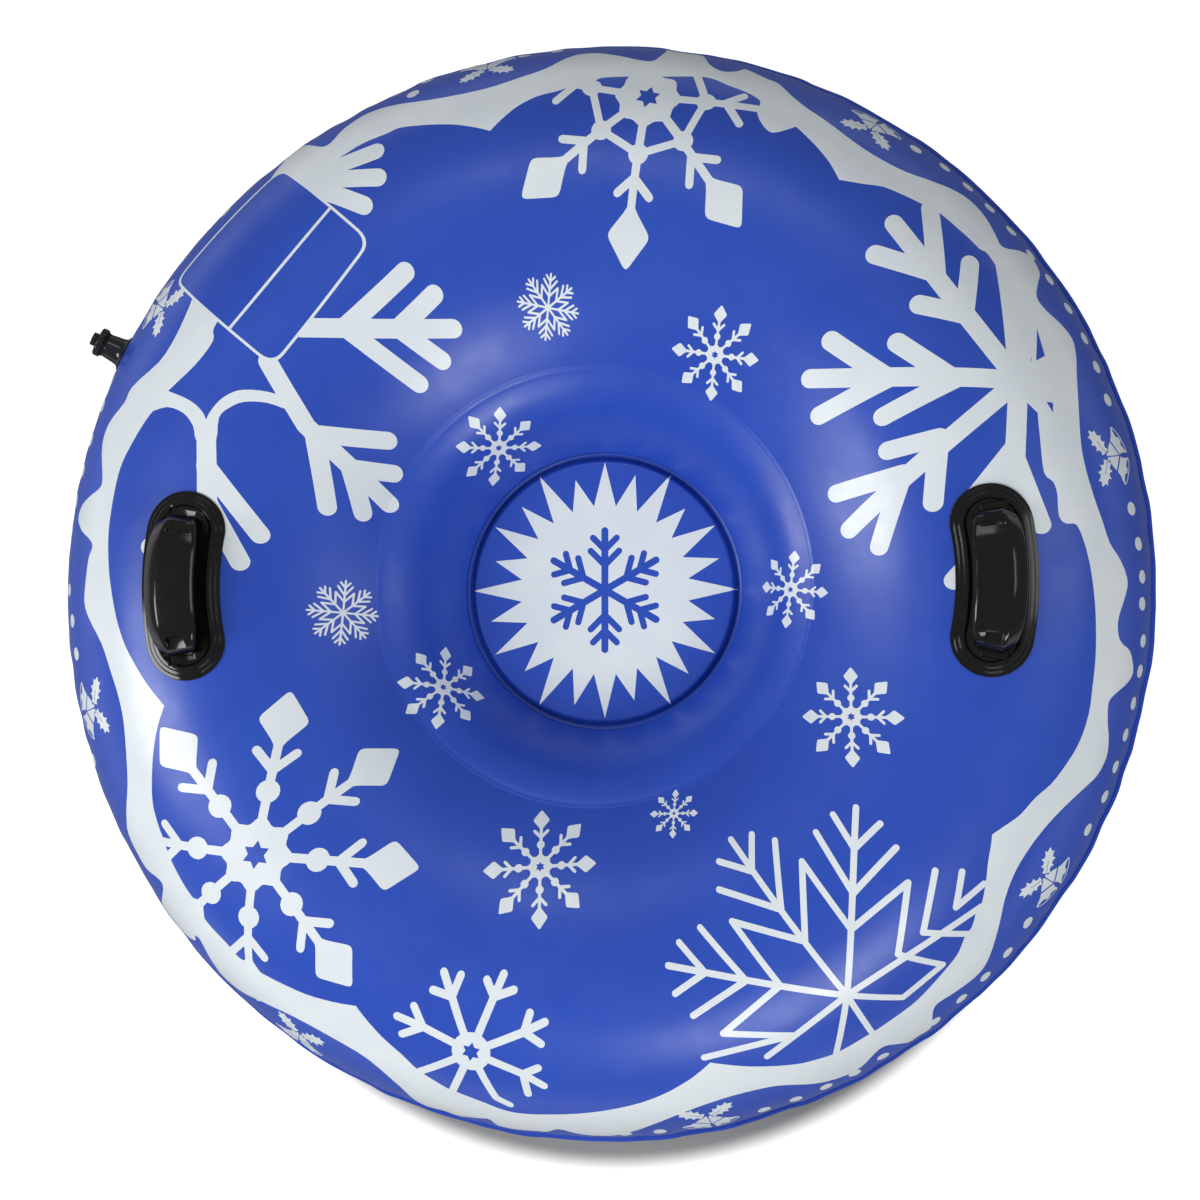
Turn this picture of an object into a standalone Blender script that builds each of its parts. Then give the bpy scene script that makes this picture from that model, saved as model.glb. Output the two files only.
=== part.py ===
"""Inflatable snow tube: two welded sheets round a sunk seat, two moulded handles and a screw valve.

Metres, +Z up. The tube lies on its base sheet with its middle over the origin, the handles on the X
axis and the valve on the outer flank at the back left.
"""

import math

import bmesh
import bpy
import numpy as np
from mathutils import Matrix, Vector

# The inflated ring
OUTER_RADIUS = 0.480
SEAM_WIDTH = 0.004
WELL_RADIUS = 0.120
TOP_THICKNESS = 0.0006
BASE_THICKNESS = 0.0009
REST_BAND = 0.030
CLEARANCE = 0.0003
CUT_OVERRUN = 0.004
MERGE_DISTANCE = 0.00001

# The tie wall inside the ring
TIE_RADIUS = 0.1895
TIE_THICKNESS = 0.0006
TIE_FLANGE = 0.008
VENT_DIAMETER = 0.024
VENT_COUNT = 8

# The handles: plate, grip and inner patch
HANDLE_INSET = 0.131
PLATE_LENGTH = 0.164
PLATE_WIDTH = 0.070
PLATE_EDGE = 0.0014
PLATE_BEND = 0.004
RIDGE_COUNT = 3
RIDGE_WIDTH = 0.0040
RIDGE_RISE = 0.0012
RIDGE_SLOPE = 0.0005
FLOOR_HEIGHT = 0.0026
FLOOR_SLOPE = 0.0020
SPINE_WIDTH = 0.012
GRIP_SPAN = 0.112
GRIP_HEIGHT = 0.0270
GRIP_WIDTH = 0.030
GRIP_FOOT_WIDTH = 0.020
GRIP_THICKNESS = 0.0090
GRIP_OFFSET = 0.004
POCKET_FLOOR = 0.0012
POCKET_WINDOW = 0.005
PATCH_MARGIN = 0.006
PATCH_THICKNESS = 0.0008

# The valve, measured out from the skin along its own axis
VALVE_TURN = math.radians(153.5)
VALVE_SLOPE = math.radians(80)
FLANGE_RADIUS = 0.0155
FLANGE_THICKNESS = 0.0016
NECK_FOOT_RADIUS = 0.0125
NECK_TOP_RADIUS = 0.0105
NECK_HEIGHT = 0.0175
NECK_BORE = 0.0085
SEAL_RADIUS = 0.0110
SEAL_THICKNESS = 0.0012
RIM_RADIUS = 0.0128
RIM_HEIGHT = 0.0070
RIM_ROUNDING = 0.0024
RIB_COUNT = 12
RIB_DEPTH = 0.0008
SKIRT_LENGTH = 0.0130
PLUG_BORE = 0.0048
SEAT_DEPTH = 0.0130
SEAT_THICKNESS = 0.0016
AIR_HOLE_RADIUS = 0.0011
AIR_HOLE_CIRCLE = 0.0032
AIR_HOLE_COUNT = 6
PLUG_HEAD_RADIUS = 0.0060
PLUG_HEAD_HEIGHT = 0.0050
PLUG_ROUNDING = 0.0012
PLUG_SHANK = 0.0080
PLUG_TAPER = 0.0006
FLAP_RADIUS = 0.0062
FLAP_THICKNESS = 0.0008
FLAP_STEM_RADIUS = 0.0012
FLAP_HEAD_RADIUS = 0.0022
FLAP_HEAD_HEIGHT = 0.0010
FLAP_TRAVEL = 0.0020

# How finely the round shapes are cut
TURN_STEPS = 64
VALVE_STEPS = 36
PLUG_STEPS = 24
WELL_STEPS = 2
SLOPE_STEPS = 3
FLANK_STEPS = 7
ARC_STEPS = 5
ROUND_STEPS = 3
SIDE_STEPS = 5
GRIP_STEPS = 14
GRIP_SIDES = 12
SECTION_SAMPLES = 1441
CREST_ROUNDS = 60

# Shares of the sizes that they follow
GRIP_SQUARENESS_SHARE = 0.70
SECTION_SQUARENESS_SHARE = 0.75
FOOT_THICKNESS_SHARE = 0.85

# Values that follow from the sizes above
SHEET_RADIUS = OUTER_RADIUS - SEAM_WIDTH
HANDLE_RADIUS = OUTER_RADIUS - HANDLE_INSET
SEAL_LOW = NECK_HEIGHT + CLEARANCE
RIM_LOW = SEAL_LOW + SEAL_THICKNESS + CLEARANCE
RIM_TOP = RIM_LOW + RIM_HEIGHT
SEAT_TOP = RIM_TOP - SEAT_DEPTH


class Section:
    """The upper sheet's line in the ring's section, from the well's weld to the outer seam.

    The sheet is an inextensible membrane under air pressure that puckers freely round the ring, so
    the sine of its slope grows with the square of the radius and is one at the seam. The crest's
    radius is the one that brings both ends to the same height.
    """

    def __init__(self):
        low, high = WELL_RADIUS, SHEET_RADIUS
        for _ in range(CREST_ROUNDS):
            self.crest = (low + high) / 2
            self._trace()
            if self.height[-1] > 0:
                high = self.crest
            else:
                low = self.crest

    def _trace(self):
        """Integrates height and run along the sheet for the present crest radius."""
        growth = SHEET_RADIUS**2 - self.crest**2
        foot = math.asin(max((WELL_RADIUS**2 - self.crest**2) / growth, -1.0))
        self.slope = np.linspace(foot, math.pi / 2, SECTION_SAMPLES)
        self.radius = np.sqrt(self.crest**2 + np.sin(self.slope) * growth)
        rate = growth / (2 * self.radius)
        self.run = self._summed(rate)
        self.height = self._summed(-np.sin(self.slope) * rate)

    def _summed(self, rate):
        """Running sum of a rate over the slope, by trapezoids."""
        parts = (rate[1:] + rate[:-1]) / 2 * np.diff(self.slope)
        return np.concatenate([[0.0], np.cumsum(parts)])

    def at(self, known, values):
        """Slope, radius and height where one of the section's own columns takes these values."""
        slope = np.interp(values, known, self.slope)
        return (
            slope,
            np.interp(slope, self.slope, self.radius),
            np.interp(slope, self.slope, self.height),
        )

    def run_at(self, known, value):
        """Run where one of the section's own columns takes this value."""
        return float(np.interp(value, known, self.run))


SECTION = Section()
CREST_CURVATURE = (SHEET_RADIUS**2 - SECTION.crest**2) / (2 * SECTION.crest)
BAND_SLOPE = math.asin(REST_BAND / 2 / CREST_CURVATURE)
MEETING = CLEARANCE / 2


def sheet_line():
    """The sheet's inner face as (radius, height) points, from the axis to the edge of the seam."""
    slope_at_tie = float(SECTION.at(SECTION.radius, TIE_RADIUS)[0])
    slopes = np.concatenate(
        [
            np.linspace(SECTION.slope[0], slope_at_tie, WELL_STEPS, endpoint=False),
            np.linspace(slope_at_tie, -BAND_SLOPE, SLOPE_STEPS, endpoint=False),
            [-BAND_SLOPE],
            np.linspace(BAND_SLOPE, math.pi / 2, FLANK_STEPS + 1),
        ]
    )
    _, radii, heights = SECTION.at(SECTION.slope, slopes)
    on_band = np.isclose(np.abs(slopes), BAND_SLOPE)
    heights[on_band] = heights[on_band].mean()
    line = [(0.0, MEETING)]
    line += [(float(r), float(z) + MEETING) for r, z in zip(radii, heights)]
    line[-1] = (SHEET_RADIUS, MEETING)
    return line + [(OUTER_RADIUS, MEETING)]


def offset_line(line, distance):
    """The line moved to its left by a distance, with mitred corners and its ends kept square."""
    moved = []
    for i, point in enumerate(line):
        sides = []
        for a, b in ((i - 1, i), (i, i + 1)):
            if a >= 0 and b < len(line):
                step = Vector(line[b]) - Vector(line[a])
                sides.append(Vector((-step.y, step.x)).normalized())
        normal = (sides[0] + sides[-1]).normalized()
        reach = distance / normal.dot(sides[0])
        moved.append(tuple(Vector(point) + normal * reach))
    return moved


SHEET_LINE = sheet_line()
TOP_LINE = offset_line(SHEET_LINE, TOP_THICKNESS)
BASE_LINE = offset_line(SHEET_LINE, BASE_THICKNESS)
MIDDLE_HEIGHT = max(z for _, z in BASE_LINE)
SECTION_SAG = CREST_CURVATURE * (1 - math.cos((math.pi / 2 - BAND_SLOPE) / FLANK_STEPS / 2))
TURN_SAG = OUTER_RADIUS * (1 - math.cos(math.pi / TURN_STEPS))


def skin_point(turn, run, height):
    """A point at a height over the upper sheet's outer face.

    turn is the angle round the tube and run the length along the section from the well's weld.
    """
    slope, radius, level = SECTION.at(SECTION.run, run)
    reach = radius + (TOP_THICKNESS + height) * math.sin(slope)
    rise = MIDDLE_HEIGHT + MEETING + level + (TOP_THICKNESS + height) * math.cos(slope)
    return Vector((reach * math.cos(turn), reach * math.sin(turn), rise))


def material(name, colour, roughness, metallic=0.0):
    """A Principled BSDF with one part's colour."""
    made = bpy.data.materials.get(name) or bpy.data.materials.new(name)
    made.use_nodes = True
    shader = made.node_tree.nodes["Principled BSDF"]
    shader.inputs["Base Color"].default_value = (*colour, 1.0)
    shader.inputs["Roughness"].default_value = roughness
    shader.inputs["Metallic"].default_value = metallic
    return made


def printed_pvc():
    """The blue of the upper sheet."""
    return material("printed_pvc", (0.030, 0.078, 0.442), 0.32)


def base_pvc():
    """The slick base sheet and the sheet of the tie wall and patches."""
    return material("base_pvc", (0.026, 0.066, 0.380), 0.28)


def handle_pvc():
    """The glossy black of plates and grips."""
    return material("handle_pvc", (0.010, 0.010, 0.011), 0.18)


def valve_soft_pvc():
    """The smoky soft base of the valve."""
    return material("valve_soft_pvc", (0.030, 0.031, 0.045), 0.15)


def valve_plastic():
    """The hard black of the screw body and plug."""
    return material("valve_plastic", (0.012, 0.012, 0.013), 0.35)


def seal_rubber():
    """The washer and the check flap."""
    return material("seal_rubber", (0.020, 0.020, 0.021), 0.60)


def collection(name):
    """A collection under the scene."""
    made = bpy.data.collections.new(name)
    bpy.context.scene.collection.children.link(made)
    return made


def clear_scene():
    """Removes every object of the scene."""
    for item in list(bpy.data.objects):
        bpy.data.objects.remove(item, do_unlink=True)


def mesh_object(name, points, edges, faces, finish):
    """A piece's mesh object from its points, loose edges and faces."""
    mesh = bpy.data.meshes.new(name)
    mesh.from_pydata([tuple(p) for p in points], edges, faces)
    mesh.update()
    made = bpy.data.objects.new(name, mesh)
    PARTS.objects.link(made)
    mesh.materials.append(finish())
    return made


def smoothed(made, angle=math.radians(35)):
    """Shades an object smooth and keeps its sharp edges."""
    made.data.shade_smooth()
    made.data.set_sharp_from_angle(angle=angle)
    return made


def realised(made):
    """Replaces an object's mesh by its evaluated one, and drops its modifiers."""
    bpy.context.view_layer.update()
    graph = bpy.context.evaluated_depsgraph_get()
    rough, mesh = made.data, bpy.data.meshes.new_from_object(made.evaluated_get(graph))
    made.modifiers.clear()
    made.data = mesh
    bpy.data.meshes.remove(rough)
    mesh.name = made.name
    return made


def turned(name, profile, steps, finish, closed=False):
    """A profile of (radius, height) points turned round Z, as a real mesh.

    It runs outwards over the top, down the outer side and back under. An open one ends on the axis,
    and a closed one is a ring.
    """
    count = len(profile)
    edges = [(i, i + 1) for i in range(count - 1)]
    if closed:
        edges.append((count - 1, 0))
    made = mesh_object(name, [(r, 0.0, z) for r, z in profile], edges, [], finish)
    turn = made.modifiers.new("Turn", "SCREW")
    turn.axis = "Z"
    turn.angle = math.tau
    turn.steps = steps
    turn.render_steps = steps
    turn.use_merge_vertices = True
    turn.merge_threshold = MERGE_DISTANCE
    turn.use_smooth_shade = True
    return smoothed(realised(made))


def end_faces(start, size):
    """Faces over one end ring, whose points run up one side from a tip and back down the other."""
    half = size // 2
    faces = [(start, start + 1, start + size - 1)]
    for i in range(1, half - 1):
        faces.append((start + i, start + i + 1, start + size - i - 1, start + size - i))
    faces.append((start + half - 1, start + half, start + half + 1))
    return faces


def lofted(name, rings, finish):
    """Closed rings of as many points each, joined in order and closed over both ends."""
    size = len(rings[0])
    last = size * (len(rings) - 1)
    faces = end_faces(0, size) + end_faces(last, size)
    for low in range(0, last, size):
        for i in range(size):
            j = (i + 1) % size
            faces.append((low + i, low + j, low + size + j, low + size + i))
    return sealed(mesh_object(name, [p for ring in rings for p in ring], [], faces, finish))


def sealed(made):
    """Turns an object's faces outwards and shades it."""
    shape = bmesh.new()
    shape.from_mesh(made.data)
    bmesh.ops.recalc_face_normals(shape, faces=shape.faces)
    shape.to_mesh(made.data)
    shape.free()
    return smoothed(made)


def cut(made, cutter):
    """Cuts one object by another, and removes the cutter."""
    cutter.hide_render = True
    cutter.display_type = "WIRE"
    hole = made.modifiers.new("Cut", "BOOLEAN")
    hole.operation = "DIFFERENCE"
    hole.solver = "EXACT"
    hole.object = cutter
    realised(made)
    mesh = cutter.data
    bpy.data.objects.remove(cutter, do_unlink=True)
    bpy.data.meshes.remove(mesh)
    return smoothed(made)


def rod(name, radius, length, place, steps=VALVE_STEPS):
    """A cylinder cutter centred at a place, its axis along the place's Z."""
    shape = bmesh.new()
    bmesh.ops.create_cone(
        shape, cap_ends=True, segments=steps, radius1=radius, radius2=radius, depth=length
    )
    mesh = bpy.data.meshes.new(name)
    shape.to_mesh(mesh)
    shape.free()
    made = bpy.data.objects.new(name, mesh)
    CUTTERS.objects.link(made)
    made.matrix_world = place
    return made


def make_top_sheet():
    """The printed upper sheet, with the hole under the valve."""
    lifted = [(r, z + MIDDLE_HEIGHT) for r, z in TOP_LINE]
    inside = [(r, z + MIDDLE_HEIGHT) for r, z in SHEET_LINE]
    sheet = turned("top_sheet", lifted + inside[::-1], TURN_STEPS, printed_pvc)
    through = 2 * (TOP_THICKNESS + CUT_OVERRUN)
    return cut(sheet, rod("valve_hole", NECK_BORE, through, valve_place()))


def make_base_sheet():
    """The base sheet, with the flat band that it rests on."""
    inside = [(r, MIDDLE_HEIGHT - z) for r, z in SHEET_LINE]
    outside = [(r, MIDDLE_HEIGHT - z) for r, z in BASE_LINE]
    return turned("base_sheet", inside + outside[::-1], TURN_STEPS, base_pvc)


def make_tie_wall():
    """The hoop that ties both sheets, with a welding flange at each edge and vent holes between."""
    start, end = Vector(SHEET_LINE[WELL_STEPS + 1]), Vector(SHEET_LINE[WELL_STEPS + 2])
    along = (end - start).normalized()
    inward = Vector((along.y, -along.x))
    root = start + inward * CLEARANCE
    tip = root + along * TIE_FLANGE
    under_root = root + inward * TIE_THICKNESS
    under_tip = tip + inward * TIE_THICKNESS
    outside = root.x + TIE_THICKNESS
    corner = under_root + along * ((outside - under_root.x) / along.x)
    upper = [root, tip, under_tip, corner]
    profile = [(p.x, MIDDLE_HEIGHT + p.y) for p in upper]
    profile += [(p.x, MIDDLE_HEIGHT - p.y) for p in reversed(upper)]
    wall = turned("tie_wall", profile, TURN_STEPS, base_pvc, closed=True)
    for i in range(VENT_COUNT):
        turn = math.tau * (i + 1 / 2) / VENT_COUNT
        place = (
            Matrix.Translation((0, 0, MIDDLE_HEIGHT))
            @ Matrix.Rotation(turn, 4, "Z")
            @ Matrix.Translation((TIE_RADIUS, 0, 0))
            @ Matrix.Rotation(math.pi / 2, 4, "Y")
        )
        through = 2 * (TIE_THICKNESS + CUT_OVERRUN)
        cut(wall, rod("vent", VENT_DIAMETER / 2, through, place, PLUG_STEPS))
    return wall


def handle_point(along, across, height):
    """A point of the right handle: along its length, across it outwards, and over the skin."""
    middle_run = SECTION.run_at(SECTION.radius, HANDLE_RADIUS)
    bend = PLATE_BEND * (2 * along / PLATE_LENGTH) ** 2
    return skin_point(along / HANDLE_RADIUS, middle_run + across - bend, CLEARANCE + height)


def slot_outline(radius):
    """A slot of the plate's length with ends of this radius, as (along, across) points.

    They run from one tip up the outer side to the other tip, and back down the inner side.
    """
    straight = (PLATE_LENGTH - PLATE_WIDTH) / 2
    turns = [math.pi / 2 * i / ARC_STEPS for i in range(ARC_STEPS + 1)]
    side = [(-straight - radius * math.cos(a), radius * math.sin(a)) for a in turns]
    side += [(straight * (2 * i / SIDE_STEPS - 1), radius) for i in range(1, SIDE_STEPS)]
    side += [(straight + radius * math.sin(a), radius * math.cos(a)) for a in turns]
    return side + [(along, -across) for along, across in reversed(side[1:-1])]


def handle_ring(radius, height):
    """One closed ring of the handle, its ends of this radius, at a height over the skin."""
    return [handle_point(along, across, height) for along, across in slot_outline(radius)]


def plate_rings():
    """The plate's (end radius, height) steps: out under it, over its ridges, and in over its floor."""
    edge, spine = PLATE_WIDTH / 2, SPINE_WIDTH / 2
    steps = [(spine, 0.0), ((edge + spine) / 2, 0.0), (edge, 0.0), (edge, PLATE_EDGE)]
    for i in range(RIDGE_COUNT):
        level = PLATE_EDGE + i * RIDGE_RISE
        tread_end = edge - (i + 1) * RIDGE_WIDTH
        steps.append((tread_end + RIDGE_SLOPE, level))
        if i + 1 < RIDGE_COUNT:
            steps.append((tread_end, level + RIDGE_RISE))
    steps.append((edge - RIDGE_COUNT * RIDGE_WIDTH - FLOOR_SLOPE, FLOOR_HEIGHT))
    steps.append((spine, FLOOR_HEIGHT))
    return steps


def make_handle_plate():
    """The right plate: stepped ridges round a floor with two pockets for the grip's feet."""
    rings = [handle_ring(radius, height) for radius, height in plate_rings()]
    plate = lofted("right_handle_plate", rings, handle_pvc)
    for end in (-1, 1):
        cut(plate, pocket_cutter(end))
    return plate


def pocket_cutter(end):
    """The pocket under one foot of the grip, longer than the foot at its outer end."""
    inner = GRIP_SPAN / 2 - GRIP_THICKNESS / 2 - CLEARANCE
    outer = GRIP_SPAN / 2 + GRIP_THICKNESS / 2 + POCKET_WINDOW
    width = GRIP_FOOT_WIDTH + 4 * CLEARANCE
    top = PLATE_EDGE + RIDGE_COUNT * RIDGE_RISE + CUT_OVERRUN
    shape = bmesh.new()
    bmesh.ops.create_cube(shape, size=1)
    for vertex in shape.verts:
        along = (inner + outer) / 2 + vertex.co.x * (outer - inner)
        height = (POCKET_FLOOR + top) / 2 + vertex.co.z * (top - POCKET_FLOOR)
        vertex.co = handle_point(end * along, GRIP_OFFSET + vertex.co.y * width, height)
    mesh = bpy.data.meshes.new("pocket")
    shape.to_mesh(mesh)
    shape.free()
    made = bpy.data.objects.new("pocket", mesh)
    CUTTERS.objects.link(made)
    return sealed(made)


def squared(angle, share):
    """Cosine and sine bent towards a rounded square: a share of 1 is a circle, less is squarer."""
    c, s = math.cos(angle), math.sin(angle)
    return math.copysign(abs(c) ** share, c), math.copysign(abs(s) ** share, s)


def grip_ring(turn):
    """One ring of points round the grip, at a turn from 0 to half a circle along its arch."""
    foot = POCKET_FLOOR + CLEARANCE
    rise, reach = GRIP_HEIGHT - foot, GRIP_SPAN / 2
    c, s = squared(turn, GRIP_SQUARENESS_SHARE)
    lean_c, lean_s = squared(turn, 2 - GRIP_SQUARENESS_SHARE)
    out = Vector((-rise * lean_c, reach * abs(lean_s))).normalized()
    middle = Vector((-reach * c, foot + rise * abs(s)))
    swell = math.sin(turn)
    half_width = (GRIP_FOOT_WIDTH + (GRIP_WIDTH - GRIP_FOOT_WIDTH) * swell) / 2
    foot_share = FOOT_THICKNESS_SHARE
    half_depth = GRIP_THICKNESS * (foot_share + (1 - foot_share) * swell) / 2
    ring = []
    for i in range(GRIP_SIDES):
        across, over = squared(math.tau * (i + 1 / 2) / GRIP_SIDES, SECTION_SQUARENESS_SHARE)
        place = middle + out * (half_depth * over)
        ring.append(handle_point(place.x, GRIP_OFFSET + half_width * across, place.y))
    return ring


def make_grip():
    """The right grip: a rounded bar that arches between its two feet."""
    rings = [grip_ring(math.pi * i / GRIP_STEPS) for i in range(GRIP_STEPS + 1)]
    return lofted("right_grip", rings, handle_pvc)


def make_handle_patch():
    """The right doubler, welded under the sheet below the plate and a little larger."""
    top = -TOP_THICKNESS - 2 * CLEARANCE - SECTION_SAG - TURN_SAG
    edge, spine = PLATE_WIDTH / 2 + PATCH_MARGIN, SPINE_WIDTH / 2
    radii = (spine, (edge + spine) / 2, edge)
    under = [handle_ring(radius, top - PATCH_THICKNESS) for radius in radii]
    over = [handle_ring(radius, top) for radius in reversed(radii)]
    return lofted("right_handle_patch", under + over, base_pvc)


def add_left_copy(made):
    """The same piece on the other side, half a turn round the tube."""
    copy = bpy.data.objects.new(made.name.replace("right", "left"), made.data)
    PARTS.objects.link(copy)
    copy.rotation_euler = (0, 0, math.pi)
    return copy


def valve_place():
    """The valve's frame: on the skin, with Z out along its axis and X round the tube."""
    run = SECTION.run_at(SECTION.slope, VALVE_SLOPE)
    out = Vector((math.sin(VALVE_SLOPE), 0, math.cos(VALVE_SLOPE)))
    out.rotate(Matrix.Rotation(VALVE_TURN, 3, "Z"))
    side = Vector((-math.sin(VALVE_TURN), math.cos(VALVE_TURN), 0))
    turn = Matrix((side, out.cross(side), out)).transposed().to_4x4()
    return Matrix.Translation(skin_point(VALVE_TURN, run, 0.0)) @ turn


def add_valve_axis():
    """The empty on the skin that carries the valve's pieces."""
    axis = bpy.data.objects.new("valve_axis", None)
    PARTS.objects.link(axis)
    axis.matrix_world = valve_place()
    return axis


def make_valve_base(axis):
    """The soft base: a flange that follows the skin, and a tapered neck with a bore."""
    profile = [
        (NECK_BORE, NECK_HEIGHT),
        (NECK_TOP_RADIUS, NECK_HEIGHT),
        (NECK_FOOT_RADIUS, FLANGE_THICKNESS * 2),
        (NECK_FOOT_RADIUS + FLANGE_THICKNESS / 2, FLANGE_THICKNESS),
        (FLANGE_RADIUS, FLANGE_THICKNESS / 2),
        (FLANGE_RADIUS, 0.0),
        (NECK_FOOT_RADIUS, 0.0),
        (NECK_BORE, 0.0),
    ]
    base = turned("valve_base", profile, VALVE_STEPS, valve_soft_pvc, closed=True)
    run = SECTION.run_at(SECTION.slope, VALVE_SLOPE)
    radius = float(SECTION.at(SECTION.slope, VALVE_SLOPE)[1])
    back = valve_place().inverted()
    for vertex in base.data.vertices:
        x, y, z = vertex.co
        if z <= FLANGE_THICKNESS * 3 / 2:
            vertex.co = back @ skin_point(VALVE_TURN + x / radius, run - y, CLEARANCE + z)
    base.parent = axis
    return base


def make_valve_seal(axis):
    """The washer on the end of the neck."""
    high = SEAL_LOW + SEAL_THICKNESS
    outer = [(SEAL_RADIUS, high), (SEAL_RADIUS, SEAL_LOW)]
    profile = [(NECK_BORE, high), *outer, (NECK_BORE, SEAL_LOW)]
    seal = turned("valve_seal", profile, VALVE_STEPS, seal_rubber, closed=True)
    seal.parent = axis
    return seal


def rounded_rim(radius, low, high, rounding):
    """A disc's outer side from its upper to its lower face, with both corners rounded."""
    turns = [math.pi / 2 * i / ROUND_STEPS for i in range(ROUND_STEPS + 1)]
    inner = radius - rounding
    over = [(inner + rounding * math.sin(a), high - rounding * (1 - math.cos(a))) for a in turns]
    under = [(inner + rounding * math.cos(a), low + rounding * (1 - math.sin(a))) for a in turns]
    return over + under


def make_valve_insert(axis):
    """The screw body: ribbed rim, skirt in the neck, bore for the plug and seat for the flap."""
    skirt = NECK_BORE - CLEARANCE
    hub = FLAP_STEM_RADIUS + CLEARANCE
    room = FLAP_RADIUS + CLEARANCE
    foot = RIM_LOW - SKIRT_LENGTH
    profile = [(PLUG_BORE, RIM_TOP)]
    profile += rounded_rim(RIM_RADIUS, RIM_LOW, RIM_TOP, RIM_ROUNDING)
    profile += [(skirt, RIM_LOW), (skirt, foot), (room, foot), (room, SEAT_TOP - SEAT_THICKNESS)]
    profile += [(hub, SEAT_TOP - SEAT_THICKNESS), (hub, SEAT_TOP), (PLUG_BORE, SEAT_TOP)]
    insert = turned("valve_insert", profile, VALVE_STEPS, valve_plastic, closed=True)
    for vertex in insert.data.vertices:
        reach = math.hypot(vertex.co.x, vertex.co.y)
        if reach > RIM_RADIUS - RIM_ROUNDING / 2:
            turn = math.atan2(vertex.co.y, vertex.co.x)
            grown = 1 + RIB_DEPTH / reach * (math.cos(RIB_COUNT * turn) - 1) / 2
            vertex.co.x *= grown
            vertex.co.y *= grown
    for i in range(AIR_HOLE_COUNT):
        place = Matrix.Rotation(math.tau * i / AIR_HOLE_COUNT, 4, "Z") @ Matrix.Translation(
            (AIR_HOLE_CIRCLE, 0, SEAT_TOP - SEAT_THICKNESS / 2)
        )
        cut(insert, rod("air_hole", AIR_HOLE_RADIUS, 2 * SEAT_THICKNESS, place, ARC_STEPS * 2))
    insert.parent = axis
    return insert


def make_valve_plug(axis):
    """The stopper: a rounded head on a shank that fills the screw body's bore."""
    low = RIM_TOP + CLEARANCE
    shank = PLUG_BORE - CLEARANCE
    foot = RIM_TOP - PLUG_SHANK
    profile = [(0.0, low + PLUG_HEAD_HEIGHT)]
    profile += rounded_rim(PLUG_HEAD_RADIUS, low, low + PLUG_HEAD_HEIGHT, PLUG_ROUNDING)
    profile += [(shank, low), (shank, foot + PLUG_TAPER), (shank - PLUG_TAPER, foot), (0.0, foot)]
    plug = turned("valve_plug", profile, PLUG_STEPS, valve_plastic)
    plug.parent = axis
    return plug


def make_valve_flap(axis):
    """The check flap: a disc under the seat, its stem through the hub and its head over it."""
    under_head = SEAT_TOP + FLAP_TRAVEL + CLEARANCE
    face = SEAT_TOP - SEAT_THICKNESS - CLEARANCE
    profile = [
        (0.0, under_head + FLAP_HEAD_HEIGHT),
        (FLAP_HEAD_RADIUS, under_head + FLAP_HEAD_HEIGHT),
        (FLAP_HEAD_RADIUS, under_head),
        (FLAP_STEM_RADIUS, under_head),
        (FLAP_STEM_RADIUS, face),
        (FLAP_RADIUS, face),
        (FLAP_RADIUS, face - FLAP_THICKNESS),
        (0.0, face - FLAP_THICKNESS),
    ]
    flap = turned("valve_flap", profile, PLUG_STEPS, seal_rubber)
    flap.parent = axis
    return flap


def build():
    """Makes every piece in its place."""
    make_top_sheet()
    make_base_sheet()
    make_tie_wall()
    for piece in (make_handle_plate(), make_grip(), make_handle_patch()):
        add_left_copy(piece)
    axis = add_valve_axis()
    make_valve_base(axis)
    make_valve_seal(axis)
    make_valve_insert(axis)
    make_valve_plug(axis)
    make_valve_flap(axis)


clear_scene()
PARTS = collection("snow_tube")
CUTTERS = collection("cutters")
build()
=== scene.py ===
"""The looks of an inflatable snow tube: welded skins, winter print, moulded handles and screw valve.

Metres, +Z up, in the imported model's own frame. The print is drawn on the flat sheet, as it is on the
real tube, and takes its place when the sheet is inflated.
"""

import cmath
import logging
import math
from collections.abc import Iterable, Iterator, Sequence
from contextlib import contextmanager
from dataclasses import dataclass, field, replace
from enum import Enum

import bpy
import numpy as np
from mathutils import Matrix, Vector
from mathutils.geometry import delaunay_2d_cdt


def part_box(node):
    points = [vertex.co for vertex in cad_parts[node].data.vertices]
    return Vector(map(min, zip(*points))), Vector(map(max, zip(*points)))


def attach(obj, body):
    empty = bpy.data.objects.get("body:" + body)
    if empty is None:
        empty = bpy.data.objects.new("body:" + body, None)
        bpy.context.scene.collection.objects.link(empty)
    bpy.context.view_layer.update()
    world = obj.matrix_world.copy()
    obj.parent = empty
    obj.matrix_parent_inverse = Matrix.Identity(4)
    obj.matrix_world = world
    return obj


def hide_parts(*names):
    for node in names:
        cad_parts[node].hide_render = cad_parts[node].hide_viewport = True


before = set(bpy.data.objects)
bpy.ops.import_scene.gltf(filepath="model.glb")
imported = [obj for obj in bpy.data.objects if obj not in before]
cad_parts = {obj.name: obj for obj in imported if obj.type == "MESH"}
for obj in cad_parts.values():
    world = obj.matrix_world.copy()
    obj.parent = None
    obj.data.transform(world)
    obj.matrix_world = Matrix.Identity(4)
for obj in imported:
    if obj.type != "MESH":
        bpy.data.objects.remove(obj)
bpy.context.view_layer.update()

LOG = logging.getLogger("snow_tube")

Pair = tuple[float, float]
Pixel = tuple[float, float]
Colour = tuple[float, float, float]
Shape = list[complex]
Object = bpy.types.Object
Material = bpy.types.Material
Socket = bpy.types.NodeSocket

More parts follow.
